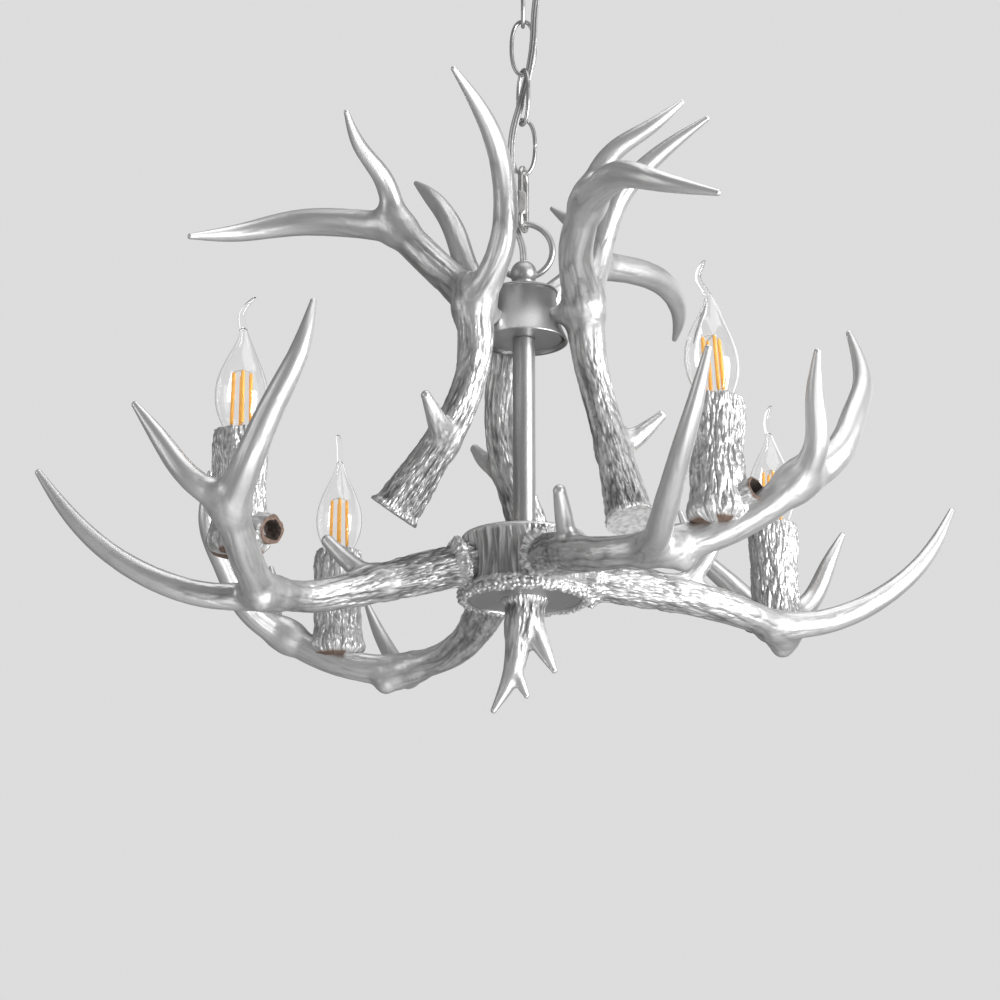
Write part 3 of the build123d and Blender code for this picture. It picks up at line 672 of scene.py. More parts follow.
def aroundTine(points, tine):
    # nearest place on the middle line; its distance less the radius there is the distance to the tine
    line, reach = tine["line"], tine["reach"]
    nearest = np.argmin((line**2).sum(1)[None] - 2 * points @ line.T, axis=1)
    offset = points - line[nearest]
    along, side, third = (tine[key][nearest] for key in ("along", "side", "third"))
    half = (reach[1] - reach[0]) / 2
    run = np.clip((offset * along).sum(1), -half, half)
    away = offset - run[:, None] * along
    length = np.maximum(np.linalg.norm(away, axis=1), 1e-6)
    travelled = reach[nearest] + run
    outward = away / length[:, None]
    turned = np.stack([(outward * side).sum(1), (outward * third).sum(1)], axis=1)
    return length - np.interp(travelled, reach, tine["radius"]), outward, travelled, turned


def reliefOf(travelled, turned, tine, seed, burr):
    # height over the plain tine: long furrows, lumps and pearls, each by its share along the tine
    share = np.clip(travelled / tine["reach"][-1], 0, 1)
    radius = np.interp(travelled, tine["reach"], tine["radius"])
    bark, barkEnd = tine["bark"]
    bark = bark + (barkEnd - bark) * np.clip(share * 1.25, 0, 1) ** 0.7
    groove, grooveEnd = tine["groove"]
    groove = groove + (grooveEnd - groove) * share
    grain = np.column_stack([turned * radius[:, None], travelled])
    swept = drifted(grain, 2.2, (30, 30, 26), seed + 5)
    lines = 1.2 * furrows(swept / (5.5, 5.5, 44), seed) + 0.7 * furrows(swept / (2.9, 2.9, 24), seed + 1, 5)
    relief = groove * (lines + 0.35 * wavy(swept / (8, 8, 60), seed + 2))
    # short cracks and flakes where the tines part
    cracks = furrows(swept / (7, 7, 13), seed + 8, 14)
    cracks *= np.clip(1.6 * wavy(grain / (13, 13, 22), seed + 9), 0, 1)
    relief += 1.1 * cracks * np.clip(1.3 - 1.5 * share, 0, 1) * np.clip(bark * 1.6, 0, 1)
    crust = 1.2 * beads(swept / (2.9, 2.9, 8.5), seed + 3) + 0.8 * wavy(swept / (3.2, 3.2, 13), seed + 4) - 0.4
    relief += bark * crust * np.clip(0.85 + 0.5 * wavy(grain / (11, 11, 15), seed + 6), 0.5, 1.2)
    relief *= np.clip((radius - 2.0) / 5, 0, 1)
    if burr:
        place, height, width = burr
        collar = np.exp(-np.abs((travelled - place) / width) ** 3)
        pearls = 0.5 + 0.75 * beads(grain / (3.9, 3.9, 3.6), seed + 7, 0.64)
        relief = relief * (1 - collar) + collar * height * pearls
        bark = np.maximum(bark, collar)
    return relief, grain, bark


def fusedShape(points, tines, web, seed=None, burr=None):
    # smooth union: of distances d and e with share s = ½ + (d−e)/2·web, the sum d(1−s) + e·s − web·s(1−s)
    for number, tine in enumerate(tines):
        distance, outward, travelled, turned = aroundTine(points, tine)
        facts = np.zeros((len(points), 5))  # relief, grain on three axes, bark
        if seed is not None:
            close = distance < 3 * web
            collar = None if number else burr
            relief, grain, bark = reliefOf(travelled[close], turned[close], tine, seed + 11 * number, collar)
            facts[close] = np.column_stack([relief, grain + (40 * number, 0, 90 * number), bark])
        if number == 0:
            total, way, known = distance, outward, facts
            continue
        share = np.clip(0.5 + 0.5 * (total - distance) / web, 0, 1)
        total = total * (1 - share) + distance * share - web * share * (1 - share)
        share = share[:, None]
        way = way * (1 - share) + outward * share
        grains = np.where(share > 0.5, facts[:, 1:4], known[:, 1:4])
        known = known * (1 - share) + facts * share
        known[:, 1:4] = grains
        # bark fades where two tines meet
        known[:, 4] *= np.clip(np.abs(2 * share[:, 0] - 1) * 2.5 - 0.5, 0, 1)
    return total, way / np.maximum(np.linalg.norm(way, axis=1), 1e-6)[:, None], known


def castMould(name, mould, seed):
    # tubes fused by a voxel remesh, drawn on to the smooth union, then given their relief
    tines = [tineOf(*facts) for facts in mould["tines"].values()]
    start, ahead = tines[0]["line"][0], tines[0]["along"][0]
    cut = mould.get("cut")
    blanks = []
    for tine in tines:
        end = tine["radius"][-1]
        tip = tine["line"][-1] + tine["along"][-1] * end * np.array([[0.6], [1.1]])
        line = np.vstack([tine["line"], tip])
        girths = np.maximum(tine["radius"], casting["thinnest"]) + casting["cover"]
        girths = np.concatenate([girths, [end * 0.9 + 0.6, casting["cover"]]])
        if cut and not blanks:
            line = np.vstack([start - ahead * np.array([[12.0], [8.0], [4.0]]), line])
            girths = np.concatenate([tine["radius"][0] * np.array([0.7, 0.9, 1.0]), girths])
        blanks.append(skin(name + "Blank", tubeGrid(line, girths, 20)))
    blank = piece(name + "Blank", blanks, antlerSilver, None)
    remesh = blank.modifiers.new("fuse", "REMESH")
    remesh.mode = "VOXEL"
    remesh.voxel_size = casting["voxel"] * mm
    bpy.context.view_layer.update()
    fused = bpy.data.meshes.new_from_object(blank.evaluated_get(bpy.context.evaluated_depsgraph_get()))
    points = pointsOf(fused)
    corners = np.empty(len(fused.loops), int)
    fused.loops.foreach_get("vertex_index", corners)
    counts = np.bincount(corners, minlength=len(points))
    quads = corners.reshape(-1, 4)
    bpy.data.objects.remove(blank)
    for step in range(4):
        distance, way, _ = fusedShape(points, tines, mould["web"])
        points = points - way * np.clip(distance, -2, 2)[:, None]
        if step < 3:
            # even out the net: each point a third of the way to the middle of its faces
            middles = points[quads].mean(1)
            summed = [np.bincount(corners, np.repeat(axis, 4), len(points)) for axis in middles.T]
            points = points + (np.stack(summed, axis=1) / counts[:, None] - points) / 3
    _, way, known = fusedShape(points, tines, mould["web"], seed, mould["burr"])
    relief, grain, bark = known[:, 0], known[:, 1:4], known[:, 4]
    points = points + way * relief[:, None]
    # painted shade: darker where the relief sinks, more so where it is deep
    shadeAndMottle = np.clip(0.3 - relief * 0.62, 0, 1) * (0.2 + 0.8 * np.clip(np.abs(relief) * 1.6, 0, 1))
    if cut:
        # what stands past the beam's start is pressed back to one flat, rough face
        near = np.linalg.norm(points - start, axis=1) < 40
        over = np.where(near, np.maximum((start - points) @ ahead, 0), 0)
        points = points + over[:, None] * ahead
        sawn = np.clip(over / 1.5, 0, 1)
        # on the sawn face the painted shade gives way to a random mottle
        shadeAndMottle = shadeAndMottle * (1 - sawn) + sawn * np.clip(0.3 + 0.5 * wavy(points / 1.9, seed), 0, 1)
        grain = np.where(sawn[:, None] > 0, points, grain)
        bark = bark * (1 - sawn)
    print(name, "cast with", len(points), "points")
    return points, quads, {"grain": grain, "paintedShadeAndMottle": shadeAndMottle, "bark": bark}


def placed(mould, bearing, firstLean, secondLean, lift, reach):
    x, y, z = mould["pivot"]
    place = Matrix.Translation((0, 0, hubLow)) @ turnZ(bearing) @ Matrix.Translation((reach + x, y, lift + z))
    for angle, axis in zip((firstLean, secondLean), mould["leanOrder"]):
        place = place @ Matrix.Rotation(math.radians(angle), 4, axis)
    return place @ Matrix.Translation((-x, -y, -z))


castings = [
    ("lowerAntler", "lower_antler_", lowerAntler, 3), ("upperAntler", "upper_antler_", upperAntler, 50),
    ("crown", "pendant_crown", crown, 90),
]
for name, node, mould, seed in castings:
    points, quads, facts = castMould(name, mould, seed)
    for number, pose in enumerate(mould["poses"], 1):
        ending = number if len(mould["poses"]) > 1 else ""
        mesh = meshOf(f"{name}{ending}", moved(points, placed(mould, *pose)), [quads], facts)
        piece(f"{name}{ending}", mesh, antlerSilver, "fixture", f"{node}{ending}")

print("antlers made")

# hub

hub = {
    "profile": [  # radius, height above the hub's lower face
        (0.4, 48), (42, 48), (45, 45), (43.5, 24), (44, 11.5), (46.2, 7), (46.4, 3), (44.5, 0.4), (41, 0.2),
        (39.6, 1.2), (39.7, 44), (0.4, 44),
    ],
    "columns": 460, "grooves": 1.5, "pearls": 1.9, "pearlBand": 9.5,
    "plate": [(0.4, 2.0), (18, 2.0), (19, 2.4), (34, 2.4), (36, 2.0), (39.4, 2.0), (39.4, 4.5), (0.4, 4.5)],
}

line = refined(eased(hub["profile"], 1.4), 0.75)
along = np.gradient(line, axis=0)
along /= np.linalg.norm(along, axis=1)[:, None]
grid = turnedGrid(line, hub["columns"], (0, 0, hubLow))
flat = grid.reshape(-1, 3)
level = flat[:, 2] - hubLow
radial, outward = spokes(flat)
# the profile runs down the wall, so its outer side is (−dz, dr)
square = np.repeat(np.column_stack([-along[:, 1], along[:, 0]]), hub["columns"], axis=0)
way = outward * square[:, :1] + upright(square[:, 1])
onWall = np.clip(radial - 42.3, 0, 1) * np.clip((level - 9) / 3, 0, 1) * np.clip((47 - level) / 4, 0, 1)
band = np.clip((hub["pearlBand"] - level) / 2.5, 0, 1) * np.clip((radial - 40.0) / 1.2, 0, 1)
grain = np.column_stack([outward[:, :2] * 44, level])
swept = drifted(grain, 2.0, (24, 24, 16), 7)
grooving = furrows(swept / (3.4, 3.4, 40), 1, 3) + 0.7 * furrows(swept / (2.1, 2.1, 22), 2)
grooving += 0.5 * wavy(swept / (6, 6, 50), 3)
relief = onWall * hub["grooves"] * grooving + band * hub["pearls"] * (beads(flat / 3.3, 4) - 0.3)
# painted shade: darker in the grooves and between the pearls of the band
paintedShade = np.clip(0.25 - relief * 0.62, 0, 1) * np.maximum(onWall, band)
facts = {"grain": grain, "paintedShadeAndMottle": paintedShade, "bark": band * 0.35}
mesh = skin("hub", (flat + way * relief[:, None]).reshape(grid.shape), values=facts)
piece("hub", mesh, antlerSilver, "fixture", "hub_barrel")
turnedPiece(
    "hubPlate", eased(hub["plate"], 0.6), 96, (0, 0, hubLow), metalSilver, "fixture", "hub_bottom_plate")

# rod, cone, lid and ball cap

cone = {
    "outside": [(23.5, 0), (24.25, -14.4), (26.85, -24.5), (31.3, -35)],
    "lip": [(31.5, -35.7), (31.3, -36)], "wall": 1.5,
}
outside = smoothLine([*cone["outside"][:3], cone["outside"][3]], 40).tolist() + cone["lip"]
inside = [(r - cone["wall"], z) for r, z in outside[::-1]]
coneTop = (0, 0, levelsOf("cone_shell")[1])
turnedPiece("cone", outside + inside, 128, coneTop, metalSilver, "fixture", "cone_shell", closed=True)

cover = {"radius": 27.0, "rise": 4.5, "wall": 1.5}
inner = cover["radius"] - cover["wall"]
profile = [
    (0.4, 0.2), (9, 0.2), (9.6, 0), (cover["radius"], 0), (cover["radius"], cover["rise"]),
    (inner, cover["rise"]), (inner, cover["wall"]), (0.4, cover["wall"]),
]
foot = (0, 0, levelsOf("cone_bottom_cover")[0])
turnedPiece("coneFloor", eased(profile, 0.5), 96, foot, metalSilver, "fixture", "cone_bottom_cover")

lid = {"profile": [(5.06, -2), (23.7, -2), (24.5, -1.5), (24.5, -0.5), (23.9, 0), (5.06, 0), (5.06, -2)]}
lidTop = (0, 0, levelsOf("cone_lid")[1])
loop = eased(lid["profile"], 0.5)[:-1]
turnedPiece("lid", loop, 128, lidTop, metalSilver, "fixture", "cone_lid", closed=True)

ball = {
    "radius": 9.5, "height": 23.5, "middle": 13.6, "cordHole": 2.75,
    "foot": [(0.4, 0), (10.3, 0), (10.3, 2.2), (8.2, 3.6), (7.6, 5.2)],
}
rise = np.radians(np.linspace(-38, 76, 26))
domeHeights = ball["middle"] + (ball["height"] - ball["middle"]) * np.sin(rise)
dome = np.stack([0.1 + ball["radius"] * np.cos(rise), domeHeights], axis=1)
holeEnd = ball["height"] - 2.5
hole = [(ball["cordHole"], ball["height"] - 0.2), (ball["cordHole"] - 0.15, holeEnd), (0.4, holeEnd)]
profile = np.vstack([eased(ball["foot"], 1.2), dome, hole])
turnedPiece("ballCap", profile, 96, lidTop, metalSilver, "fixture", "ball_cap")

rod = {"radius": 8.0, "wall": 2.5}
rodLow, rodHigh = levelsOf("centre_rod")
bore = rod["radius"] - rod["wall"]
loop = [(bore, rodLow), (rod["radius"], rodLow), (rod["radius"], rodHigh), (bore, rodHigh), (bore, rodLow)]
loop = refined(eased(loop, 0.5), 8)[:-1]
turnedPiece("rod", loop, 96, (0, 0, 0), metalSilver, "fixture", "centre_rod", closed=True)

print("hub, cone and rod made")

# candle holders

holder = {
    "radius": 18.5, "bore": 15.75, "height": 74.0, "floor": 20.0, "columns": 250,
    "outline": [  # share of the radius, height
        (0.7, -9), (0.98, -6.5), (1.12, -2), (1.04, 6), (0.96, 22), (0.95, 48), (0.98, 70), (0.93, 74)],
    "stubs": [  # the sawn-off twig at each foot: place, way it points, radius
        ((13, -7, 8), (0.86, -0.42, -0.28), 9.4), ((13, -6, 8), (0.88, -0.36, 0.34), 8.4),
        ((-9, 9, 4), (-0.7, 0.6, -0.2), 6.5), ((-9, 9, 4), (-0.6, 0.7, -0.2), 6.5)],
    "stubReach": 12.0,
}


def holderAt(number):
    # the middle of the holder's foot, under the bulb's cap
    low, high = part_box(f"bulb_cap_{number}")
    middle = (low + high) / 2 / mm
    return np.array([middle.x, middle.y, levelsOf(f"candle_cup_{number}")[1] - holder["height"]])


def twigStub(place, way, size, seed):
    # an open twig end: a profile turned about the way it points, its rim and the inside of its hole bare, with
    # painted shade darkening that inside
    reach = holder["stubReach"]
    profile = [
        (0.4, -8), (size, -8), (size, 0), (size * 1.04, reach * 0.7), (size * 0.98, reach),
        (size * 0.72, reach + 0.2), (size * 0.6, reach - 2), (size * 0.5, reach - 8), (0.4, reach - 9),
    ]
    grid = turnedGrid(refined(profile, 0.7), 90)
    flat = grid.reshape(-1, 3)
    radial, outward = spokes(flat)
    level = flat[:, 2]
    lumps = wavy(flat / (5, 5, 9), seed) + 0.6 * wavy(flat / (2.2, 2.2, 4), seed + 1)
    slant = 2.4 * outward[:, 0] * np.clip(level / reach, 0, 1)
    flat = flat + outward * (0.9 * lumps)[:, None] + upright(slant)
    bare = np.clip((level - reach * 0.78) / 2 + 0.7 * wavy(flat / 3.1, seed + 2), 0, 1)
    way = np.array(way) / np.linalg.norm(way)
    side = np.cross((0, 0, 1.0), way)
    side /= np.linalg.norm(side)
    turned = flat @ np.array([side, np.cross(way, side), way]) + place
    facts = {
        "grain": flat, "paintedShadeAndMottle": np.where(radial < size * 0.7, 0.95, 0.3), "bark": 0.6 + 0 * bare,
        "bare": np.where(radial < size * 0.93, 1.0, bare),
    }
    return turned.reshape(grid.shape), facts


outer = smoothLine(np.array(holder["outline"]) * (holder["radius"], 1), 110)
boring = [(holder["bore"], height) for height in (73.6, 60, 40, holder["floor"])]
under = [(0.4, -9.0), (6, -9.2), (11, -9.1)]
profile = [*under, *outer, (16.7, 74.3), (16.1, 74.2), *boring, (0.4, holder["floor"])]
grid = turnedGrid(profile, holder["columns"])
flat = grid.reshape(-1, 3)
radial, outward = spokes(flat)
level = flat[:, 2]
outerShare = np.clip(np.clip((radial - 15.9) / 1.2, 0, 1) + np.clip((-6 - level) / 3, 0, 1) * 0.5, 0, 1)
rim = np.clip((level - 64) / 10, 0, 1) * np.clip(radial - 15.9, 0, 1)
grain = np.column_stack([outward[:, :2] * holder["radius"], level])
for number, (place, way, size) in enumerate(holder["stubs"], 1):
    seat = holderAt(number)
    seed = 7 * number
    swept = drifted(grain, 2.6, (16, 16, 14), seed, (1, 1, 0))
    # bark: tall plates parted by deep furrows, cross cracks, lumps
    plates = 1.4 * furrows(swept / (4.4, 4.4, 26), seed + 1)
    plates += 0.8 * furrows(swept / (2.7, 2.7, 12), seed + 2, 5)
    lumps = 0.45 * wavy(swept / (2.4, 2.4, 6), seed + 3) + 0.5 * beads(swept / (2.9, 2.9, 6.5), seed + 4)
    relief = plates + lumps + 0.6 * furrows(swept / (5, 5, 3.4), seed + 10, 8)
    relief += 0.9 * wavy(grain / (12, 12, 20), seed + 5) + 0.35
    relief += np.clip((4 - level) / 8, 0, 1) * 1.7 * wavy(grain / (5, 5, 6), seed + 6)
    relief *= 0.85 * outerShare
    bare = np.clip((-5.5 - level) / 2, 0, 1) * (wavy(grain / (7, 7, 7), seed + 8) > -0.3)
    ragged = rim * 1.6 * wavy(grain / (5, 5, 30), seed + 9)
    shaped = flat + outward * relief[:, None] + upright(ragged)
    # painted shade: darker where the bark's plates and lumps sink
    paintedShade = np.clip(0.12 - (plates + lumps) * 0.3, 0, 1) * outerShare * (1 - bare)
    facts = {"grain": grain, "paintedShadeAndMottle": paintedShade, "bark": outerShare * 0.55, "bare": bare}
    name = f"candleHolder{number}"
    sleeve = skin(name, (shaped + seat).reshape(grid.shape), values=facts)
    stubGrid, facts = twigStub(place, way, size, 60 + number)
    stub = skin(name, stubGrid + seat, values=facts)
    piece(name, [sleeve, stub], holderSilver, "fixture", f"candle_cup_{number}")

print("candle holders made")

# lampholders and bulbs: heights from the candle holder's foot, the glass from the cap's top

lampholder = {  # a skirt on the sleeve's floor, a plain barrel and a rolled lip round the cap
    "profile": [
        (0.4, 20), (15.3, 20), (15.3, 24), (12, 24.6), (12, 66), (11.4, 67), (6.4, 67), (6.2, 66), (6.2, 47),
        (0.4, 47)],
}
bulb = {
    "cap": [(3.0, 47.1), (4.6, 49), (5.7, 50.8), (5.8, 52), (5.8, 67.2), (0.4, 67.2)],
    "capTop": 67.0, "capRadius": 5.8, "thread": 0.45, "pitch": 2.6,
    "glass": [  # radius, height
        (5.7, 0), (7.6, 3), (10.2, 7), (13.5, 14), (16.1, 21), (17.45, 30), (16.9, 39), (14.5, 48), (10.8, 57),
        (7.1, 65), (4.6, 71), (2.9, 77), (2.5, 84), (2.15, 92), (1.9, 98), (1.0, 101)],
    "wall": 0.7,
    "tails": [(-1.5, 6.7), (-5.2, -0.5), (-1.5, 2.5), (-0.5, -2)],  # stray halfway up the tail and at its tip
    "leans": [0.0, -0.05, -0.02, 0.0],  # sideways for each step up
    "stem": [(0.4, 67.9), (4.4, 67.9), (2.4, 71.5), (1.7, 74), (1.6, 77.4), (0.4, 78)],
    "tip": [(0.3, 115.4), (1.3, 115.6), (1.1, 117.4), (0.3, 117.8)],
    "stripLow": 78.5, "stripHigh": 115.0, "stripRadius": 1.25, "stripCircle": (6.3, 5.6),
    "twists": [10, 18, 11, 7], "lead": 0.28,
}


def blownGlass(name, halfway, tip, lean):
    # outer and inner skins of (r·cos t + s(z), r·sin t, z), s the tail's stray to the side
    profile = smoothLine(bulb["glass"], 120)
    stray = smoothLine([(0, 0), (20, 0), (60, 0), (77, 0), (88, halfway), (101, tip)], 300)
    wall = np.minimum(bulb["wall"], profile[:, 0] * 0.3)
    inside = np.column_stack([profile[:, 0] - wall, profile[:, 1]])[profile[:, 1] < 78]
    meshes = []
    for shell in (profile, np.vstack([inside, [(0.9, 79.4), (0.1, 80)]])):
        grid = turnedGrid(shell, 64)
        grid[..., 0] += np.interp(grid[..., 2], stray[:, 0], stray[:, 1]) + lean * grid[..., 2]
        meshes.append(skin(name, grid))
    meshes[1].flip_normals()
    return meshes


for number in range(1, 5):
    seat = holderAt(number)
    body = f"bulb_{number}"
    turnedPiece(
        f"lampholder{number}", eased(lampholder["profile"], 0.7), 72, seat, blackPlastic, "fixture",
        f"lampholder_{number}")
    # screw cap: radius + thread·cos(t − 2πz/pitch) between its plain ends
    grid = turnedGrid(refined(bulb["cap"], 0.35), 72)
    x, y, z = np.moveaxis(grid, -1, 0)
    onThread = np.clip((z - 51.5) / 1.5, 0, 1) * np.clip((65 - z) / 1.5, 0, 1)
    wave = (np.cos(np.arctan2(y, x) - 2 * math.pi * z / bulb["pitch"]) - 1) / 2
    grid[..., :2] *= (1 + onThread * bulb["thread"] * wave / bulb["capRadius"])[..., None]
    mesh = skin(f"bulbCap{number}", grid + seat, sharp=50)
    piece(f"bulbCap{number}", mesh, capMetal, body, f"bulb_cap_{number}")
    lean = bulb["leans"][number - 1]
    meshes = blownGlass(f"bulbGlass{number}", *bulb["tails"][number - 1], lean)
    for mesh in meshes:
        mesh.transform(Matrix.Translation((seat + (0, 0, bulb["capTop"])) * mm))
    piece(f"bulbGlass{number}", meshes, bulbGlass, body, f"bulb_glass_{number}")
    # stem, lead wires, and four strips leaning out towards their feet
    meshes = [skin("stem", turnedGrid(eased(bulb["stem"], 0.8), 40, seat))]
    meshes.append(skin("tip", turnedGrid(eased(bulb["tip"], 0.4), 24, seat)))
    for mesh in meshes:
        mesh.materials.append(whiteStem)
    low, high = bulb["stripLow"], bulb["stripHigh"]
    for quarter in range(4):
        facing = math.radians(bulb["twists"][number - 1] + 90 * quarter)
        way = np.array([math.cos(facing), math.sin(facing), 0])
        ends = []
        for reach, height in zip(bulb["stripCircle"], (low, high)):
            ends.append(way * reach + (lean * (height - bulb["capTop"]), 0, height))
        foot, head = ends
        share = np.linspace(0, 1, 24)
        girth = bulb["stripRadius"] * np.clip(np.minimum(share, 1 - share) * 16 + 0.35, 0, 1) ** 0.5
        strip = skin("strip", tubeGrid(seat + foot + share[:, None] * (head - foot), girth, 16))
        strip.materials.append(amber)
        meshes.append(strip)
        for start, end, sag in ((foot, 77.2, 1.0), (head, high + 1.4, -0.8)):
            middle = (start + np.array([0, 0, end])) / 2 - (0, 0, sag)
            wire = smoothLine([seat + start, seat + middle, seat + (0, 0, end)], 12)
            lead = skin("lead", tubeGrid(wire, bulb["lead"], 8))
            lead.materials.append(zincMetal)
            meshes.append(lead)
    piece(f"filaments{number}", meshes, amber, body, f"filaments_{number}")

print("bulbs made")

# chain, quick link and ring, each bent square to the way away from the front

away = (0, 1.0, 0)
chain = {"length": 45.5, "width": 20.0, "wire": 3.0, "blunt": 0.85, "seam": 0.3, "turns": [90, 0, 115, 0]}


def ovalLine(count):
    # (a·|sin t|^blunt, b·|cos t|^blunt), signs kept
    turn = np.linspace(0, 2 * math.pi, 721)
    out = np.sign(np.sin(turn)) * np.abs(np.sin(turn)) ** chain["blunt"] * (chain["width"] - chain["wire"]) / 2
    up = np.sign(np.cos(turn)) * np.abs(np.cos(turn)) ** chain["blunt"] * (chain["length"] - chain["wire"]) / 2
    travel = travelOf(np.column_stack([out, up]))
    at = np.linspace(0, travel[-1], count, endpoint=False)
    return np.column_stack([np.interp(at, travel, out), 0 * at, np.interp(at, travel, up)]), at / travel[-1]


line, share = ovalLine(160)
radii = chain["wire"] / 2 * (1 - chain["seam"] * np.exp(-(((share - 0.25) / 0.005) ** 2)))
grid = tubeGrid(line, radii, 20, closed=True, reference=away)
for number, turn in enumerate(chain["turns"], 1):
    middle = (0, 0, sum(levelsOf(f"chain_link_{number}")) / 2)
    mesh = skin(f"chainLink{number}", moved(grid, turnZ(turn)) + middle, closedRows=True)
    piece(f"chainLink{number}", mesh, chainSilver, f"chain_{number}", f"chain_link_{number}")

quick = {"length": 51.0, "width": 20.0, "wire": 4.0, "turn": 75.0, "gap": 5.0}
nut = {
    "flats": 3.8, "bore": 2.3,  # half the width over the flats, radius of the bore
    "outline": [  # largest radius, height
        (2.35, 0), (3.75, 0), (4.2, 1), (4.6, 2), (4.6, 8.5), (4.6, 15), (4.2, 16), (3.75, 17), (2.35, 17)],
}
bend = (quick["width"] - quick["wire"]) / 2
high = levelsOf("quick_link")[1] - quick["wire"] / 2 - bend
low = high + 2 * bend - quick["length"] + quick["wire"]
nutLow, nutHigh = levelsOf("quick_link_nut")
gapLow, gapHigh = ((nutLow + nutHigh + gap) / 2 for gap in (-quick["gap"], quick["gap"]))
turn = np.radians(np.linspace(0, 180, 30))
arcTop = np.column_stack([bend * np.cos(turn), 0 * turn, high + bend * np.sin(turn)])
arcLow = np.column_stack([-bend * np.cos(turn), 0 * turn, low - bend * np.sin(turn)])
downLeft = np.linspace((-bend, 0, gapLow), (-bend, 0, low), 40)
upLeft = np.linspace((-bend, 0, high), (-bend, 0, gapHigh), 40)
upRight = np.linspace((bend, 0, low), (bend, 0, high), 20)
line = np.vstack([downLeft, arcLow[1:], upRight[1:-1], arcTop, upLeft[1:]])
grid = moved(tubeGrid(line, quick["wire"] / 2, 24, reference=away), turnZ(quick["turn"]))
piece("quickLink", skin("quickLink", grid, sharp=60), zincMetal, "quick_link_body", "quick_link")
# sleeve nut: six flats, r = f / cos(t held to a sixth of a turn), cut by a cone at each end
turn = np.linspace(0, 2 * math.pi, 96, endpoint=False)
hexagon = nut["flats"] / np.cos((turn % (math.pi / 3)) - math.pi / 6)
limits, levels = np.array(nut["outline"]).T
radius = np.vstack([np.minimum(hexagon, limits[:, None]), np.full((2, len(turn)), nut["bore"])])
levels = np.append(levels + nutLow, [nutHigh, nutLow])[:, None]
grid = np.stack([radius * np.cos(turn) - bend, radius * np.sin(turn), levels + 0 * turn], axis=-1)
mesh = skin("sleeveNut", moved(grid, turnZ(quick["turn"])), closedRows=True, sharp=25)
piece("sleeveNut", mesh, zincMetal, "sleeve_nut", "quick_link_nut")

ring = {"wire": 4.5, "pin": 6.5, "foot": 8.0}
ringLow, ringHigh = levelsOf("hanging_ring")
top, pivot = ringHigh - ring["wire"] / 2, ringLow + ring["wire"] / 2
# the circle through the top and the two feet: radius = (height² + foot²) / 2·height
radius = ((top - pivot) ** 2 + ring["foot"] ** 2) / (2 * (top - pivot))
opening = math.acos(ring["foot"] / radius)
turn = np.linspace(-opening, math.pi + opening, 90)
bow = np.column_stack([radius * np.cos(turn), 0 * turn, top - radius + radius * np.sin(turn)])
line = np.vstack([(ring["pin"], 0, pivot), bow, (-ring["pin"], 0, pivot)])
mesh = skin("hangingRing", tubeGrid(line, ring["wire"] / 2, 24, reference=away), sharp=60)
piece("hangingRing", mesh, metalSilver, "ring", "hanging_ring")

# ceiling fitting

canopy = {
    "flat": (5.4, -27),  # bore and height of the flat middle
    "outside": [(30, -27), (38, -25.8), (46, -22), (52.5, -16), (57.2, -9), (58.8, -4), (59, -0.6)],
    "wall": 1.5,
}
bore, low = canopy["flat"]
outside = smoothLine(canopy["outside"], 40).tolist()
inside = [(max(r - canopy["wall"], bore), min(z + canopy["wall"], 0)) for r, z in outside[::-1]][1:]
loop = [(bore, low), *outside, (58.9, 0), (57.5, 0), *inside, (bore, low + canopy["wall"])]
turnedPiece("canopy", loop, 144, (0, 0, 0), metalSilver, "ceiling_fitting", "ceiling_canopy", True, sharp=40)

loopBow = {"wire": 5.0, "opening": 18.0, "base": 10.0, "baseHeight": 5.0, "chamfer": 1.5}
bend = (loopBow["opening"] + loopBow["wire"]) / 2
foot = low - loopBow["baseHeight"]
turn = np.radians(np.linspace(-250, 70, 90))
line = np.column_stack([bend * np.cos(turn), 0 * turn, foot - bend + bend * np.sin(turn)])
bow = skin("canopyLoop", tubeGrid(line, loopBow["wire"] / 2, 24, reference=away))
radius, cutBack = loopBow["base"], loopBow["chamfer"]
profile = [(0.4, low), (radius, low), (radius, foot + cutBack), (radius - cutBack, foot), (0.4, foot)]
base = skin("canopyLoop", turnedGrid(eased(profile, 0.8), 72), sharp=50)
piece("canopyLoop", [base, bow], metalSilver, "ceiling_fitting", "canopy_loop")

bushing = {
    "at": (15.407, -7.185, 0),
    "profile": [(2.5, -29), (6, -29), (6, -27.4), (5.4, -27), (4.45, -27), (4.45, -20), (2.5, -20), (2.5, -29)],
}
loop = eased(bushing["profile"], 0.5)[:-1]
turnedPiece(
    "cordBushing", loop, 48, bushing["at"], blackPlastic, "ceiling_fitting", "cord_bushing", closed=True)

# nodes that stay as the CAD has them
for name in (
    "mounting_crossbar", "crossbar_screws", "canopy_nipple", "upper_nipple", "lower_nipple", "nipple_nuts",
    "lower_antler_bolts", "upper_antler_screws",
):
    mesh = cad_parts[name].data
    mesh.materials.clear()
    mesh.materials.append(zincMetal)

print("chain and ceiling fitting made")

# floor, world and lamps

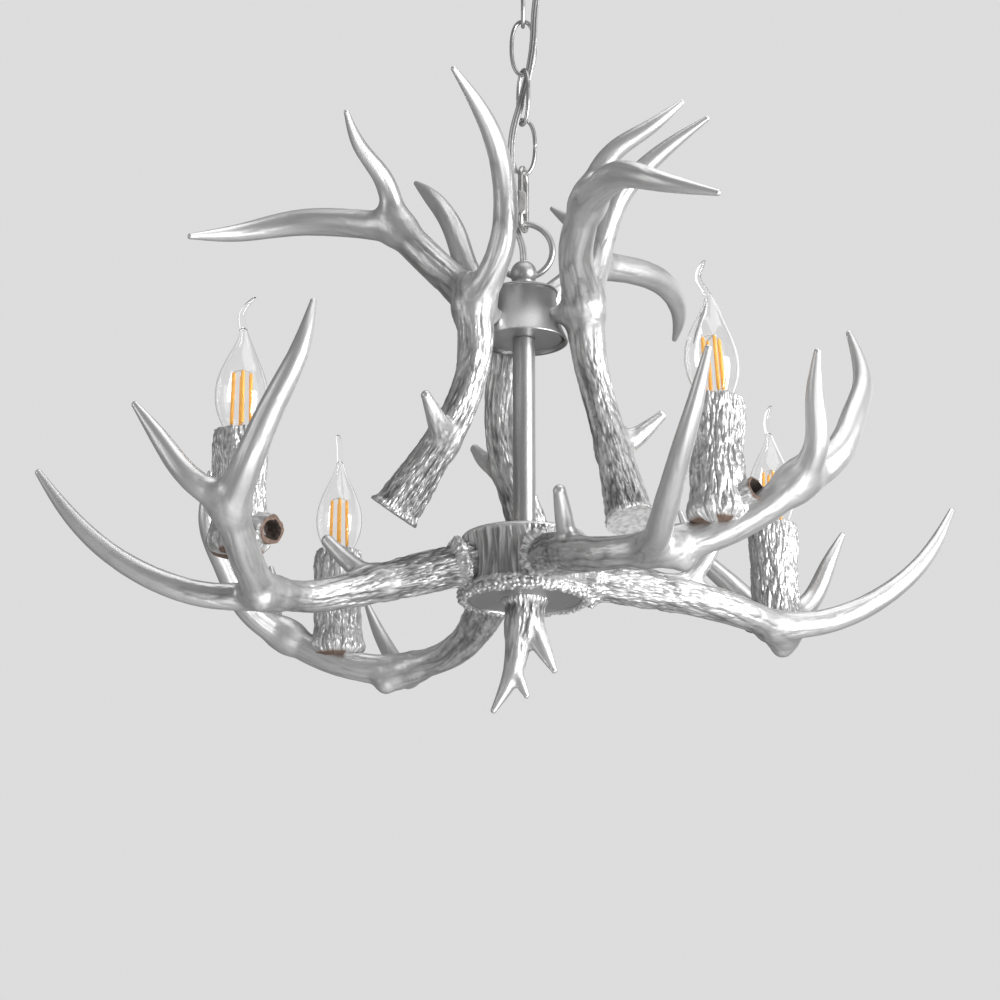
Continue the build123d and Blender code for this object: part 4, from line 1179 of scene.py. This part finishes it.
studio = {
    "floor": -2500.0, "floorSize": 60000.0, "floorTone": 0.85, "backdrop": 0.72, "around": 0.23,
    "lamps": [  # name, place, aims at, width, height, watts
        ("key", (1700, -1100, -500), (0, 0, -400), 900, 1500, 76),
        ("low", (500, -1300, -1900), (0, 0, -450), 1500, 700, 10),
        ("fill", (-1900, -900, -300), (0, 0, -350), 900, 1400, 6),
        ("top", (300, -200, 1100), (0, 0, -350), 1500, 1500, 12),
        ("back", (1300, 1500, 100), (0, 0, -350), 1500, 1500, 4),
    ],
}

floorFinish = Finish("floor").principled(Base_Color=(*grey(studio["floorTone"]), 1), Roughness=0.8)
corners = np.array([(-1, -1, 0), (1, -1, 0), (1, 1, 0), (-1, 1, 0)]) * studio["floorSize"] / 2
mesh = bpy.data.meshes.new("floor")
mesh.from_pydata(((corners + (0, 0, studio["floor"])) * mm).tolist(), [], [[0, 1, 2, 3]])
mesh.materials.append(floorFinish)
floorObject = bpy.data.objects.new("floor", mesh)
bpy.context.scene.collection.objects.link(floorObject)

world = bpy.data.worlds.new("studio")
bpy.context.scene.world = world
world.use_nodes = True
nodes, links = world.node_tree.nodes, world.node_tree.links
nodes.clear()
rays = nodes.new("ShaderNodeLightPath")
seen = nodes.new("ShaderNodeMath")
seen.operation = "MAXIMUM"
links.new(rays.outputs["Is Camera Ray"], seen.inputs[0])
links.new(rays.outputs["Is Transmission Ray"], seen.inputs[1])
mixed = nodes.new("ShaderNodeMixShader")
links.new(seen.outputs[0], mixed.inputs[0])
for socket, tone, strength in ((1, 1.0, studio["around"]), (2, studio["backdrop"], 1.0)):
    shade = nodes.new("ShaderNodeBackground")
    shade.inputs["Color"].default_value = (*grey(tone), 1)
    shade.inputs["Strength"].default_value = strength
    links.new(shade.outputs[0], mixed.inputs[socket])
out = nodes.new("ShaderNodeOutputWorld")
links.new(mixed.outputs[0], out.inputs["Surface"])

for name, place, aim, width, height, watts in studio["lamps"]:
    data = bpy.data.lights.new(name, "AREA")
    data.shape = "RECTANGLE"
    data.size, data.size_y = width * mm, height * mm
    data.energy = watts
    lamp = bpy.data.objects.new(name, data)
    lamp.location = Vector(place) * mm
    lamp.rotation_euler = (Vector(aim) - Vector(place)).to_track_quat("-Z", "Y").to_euler()
    bpy.context.scene.collection.objects.link(lamp)

bpy.context.scene.view_settings.view_transform = "Standard"
print("studio made")
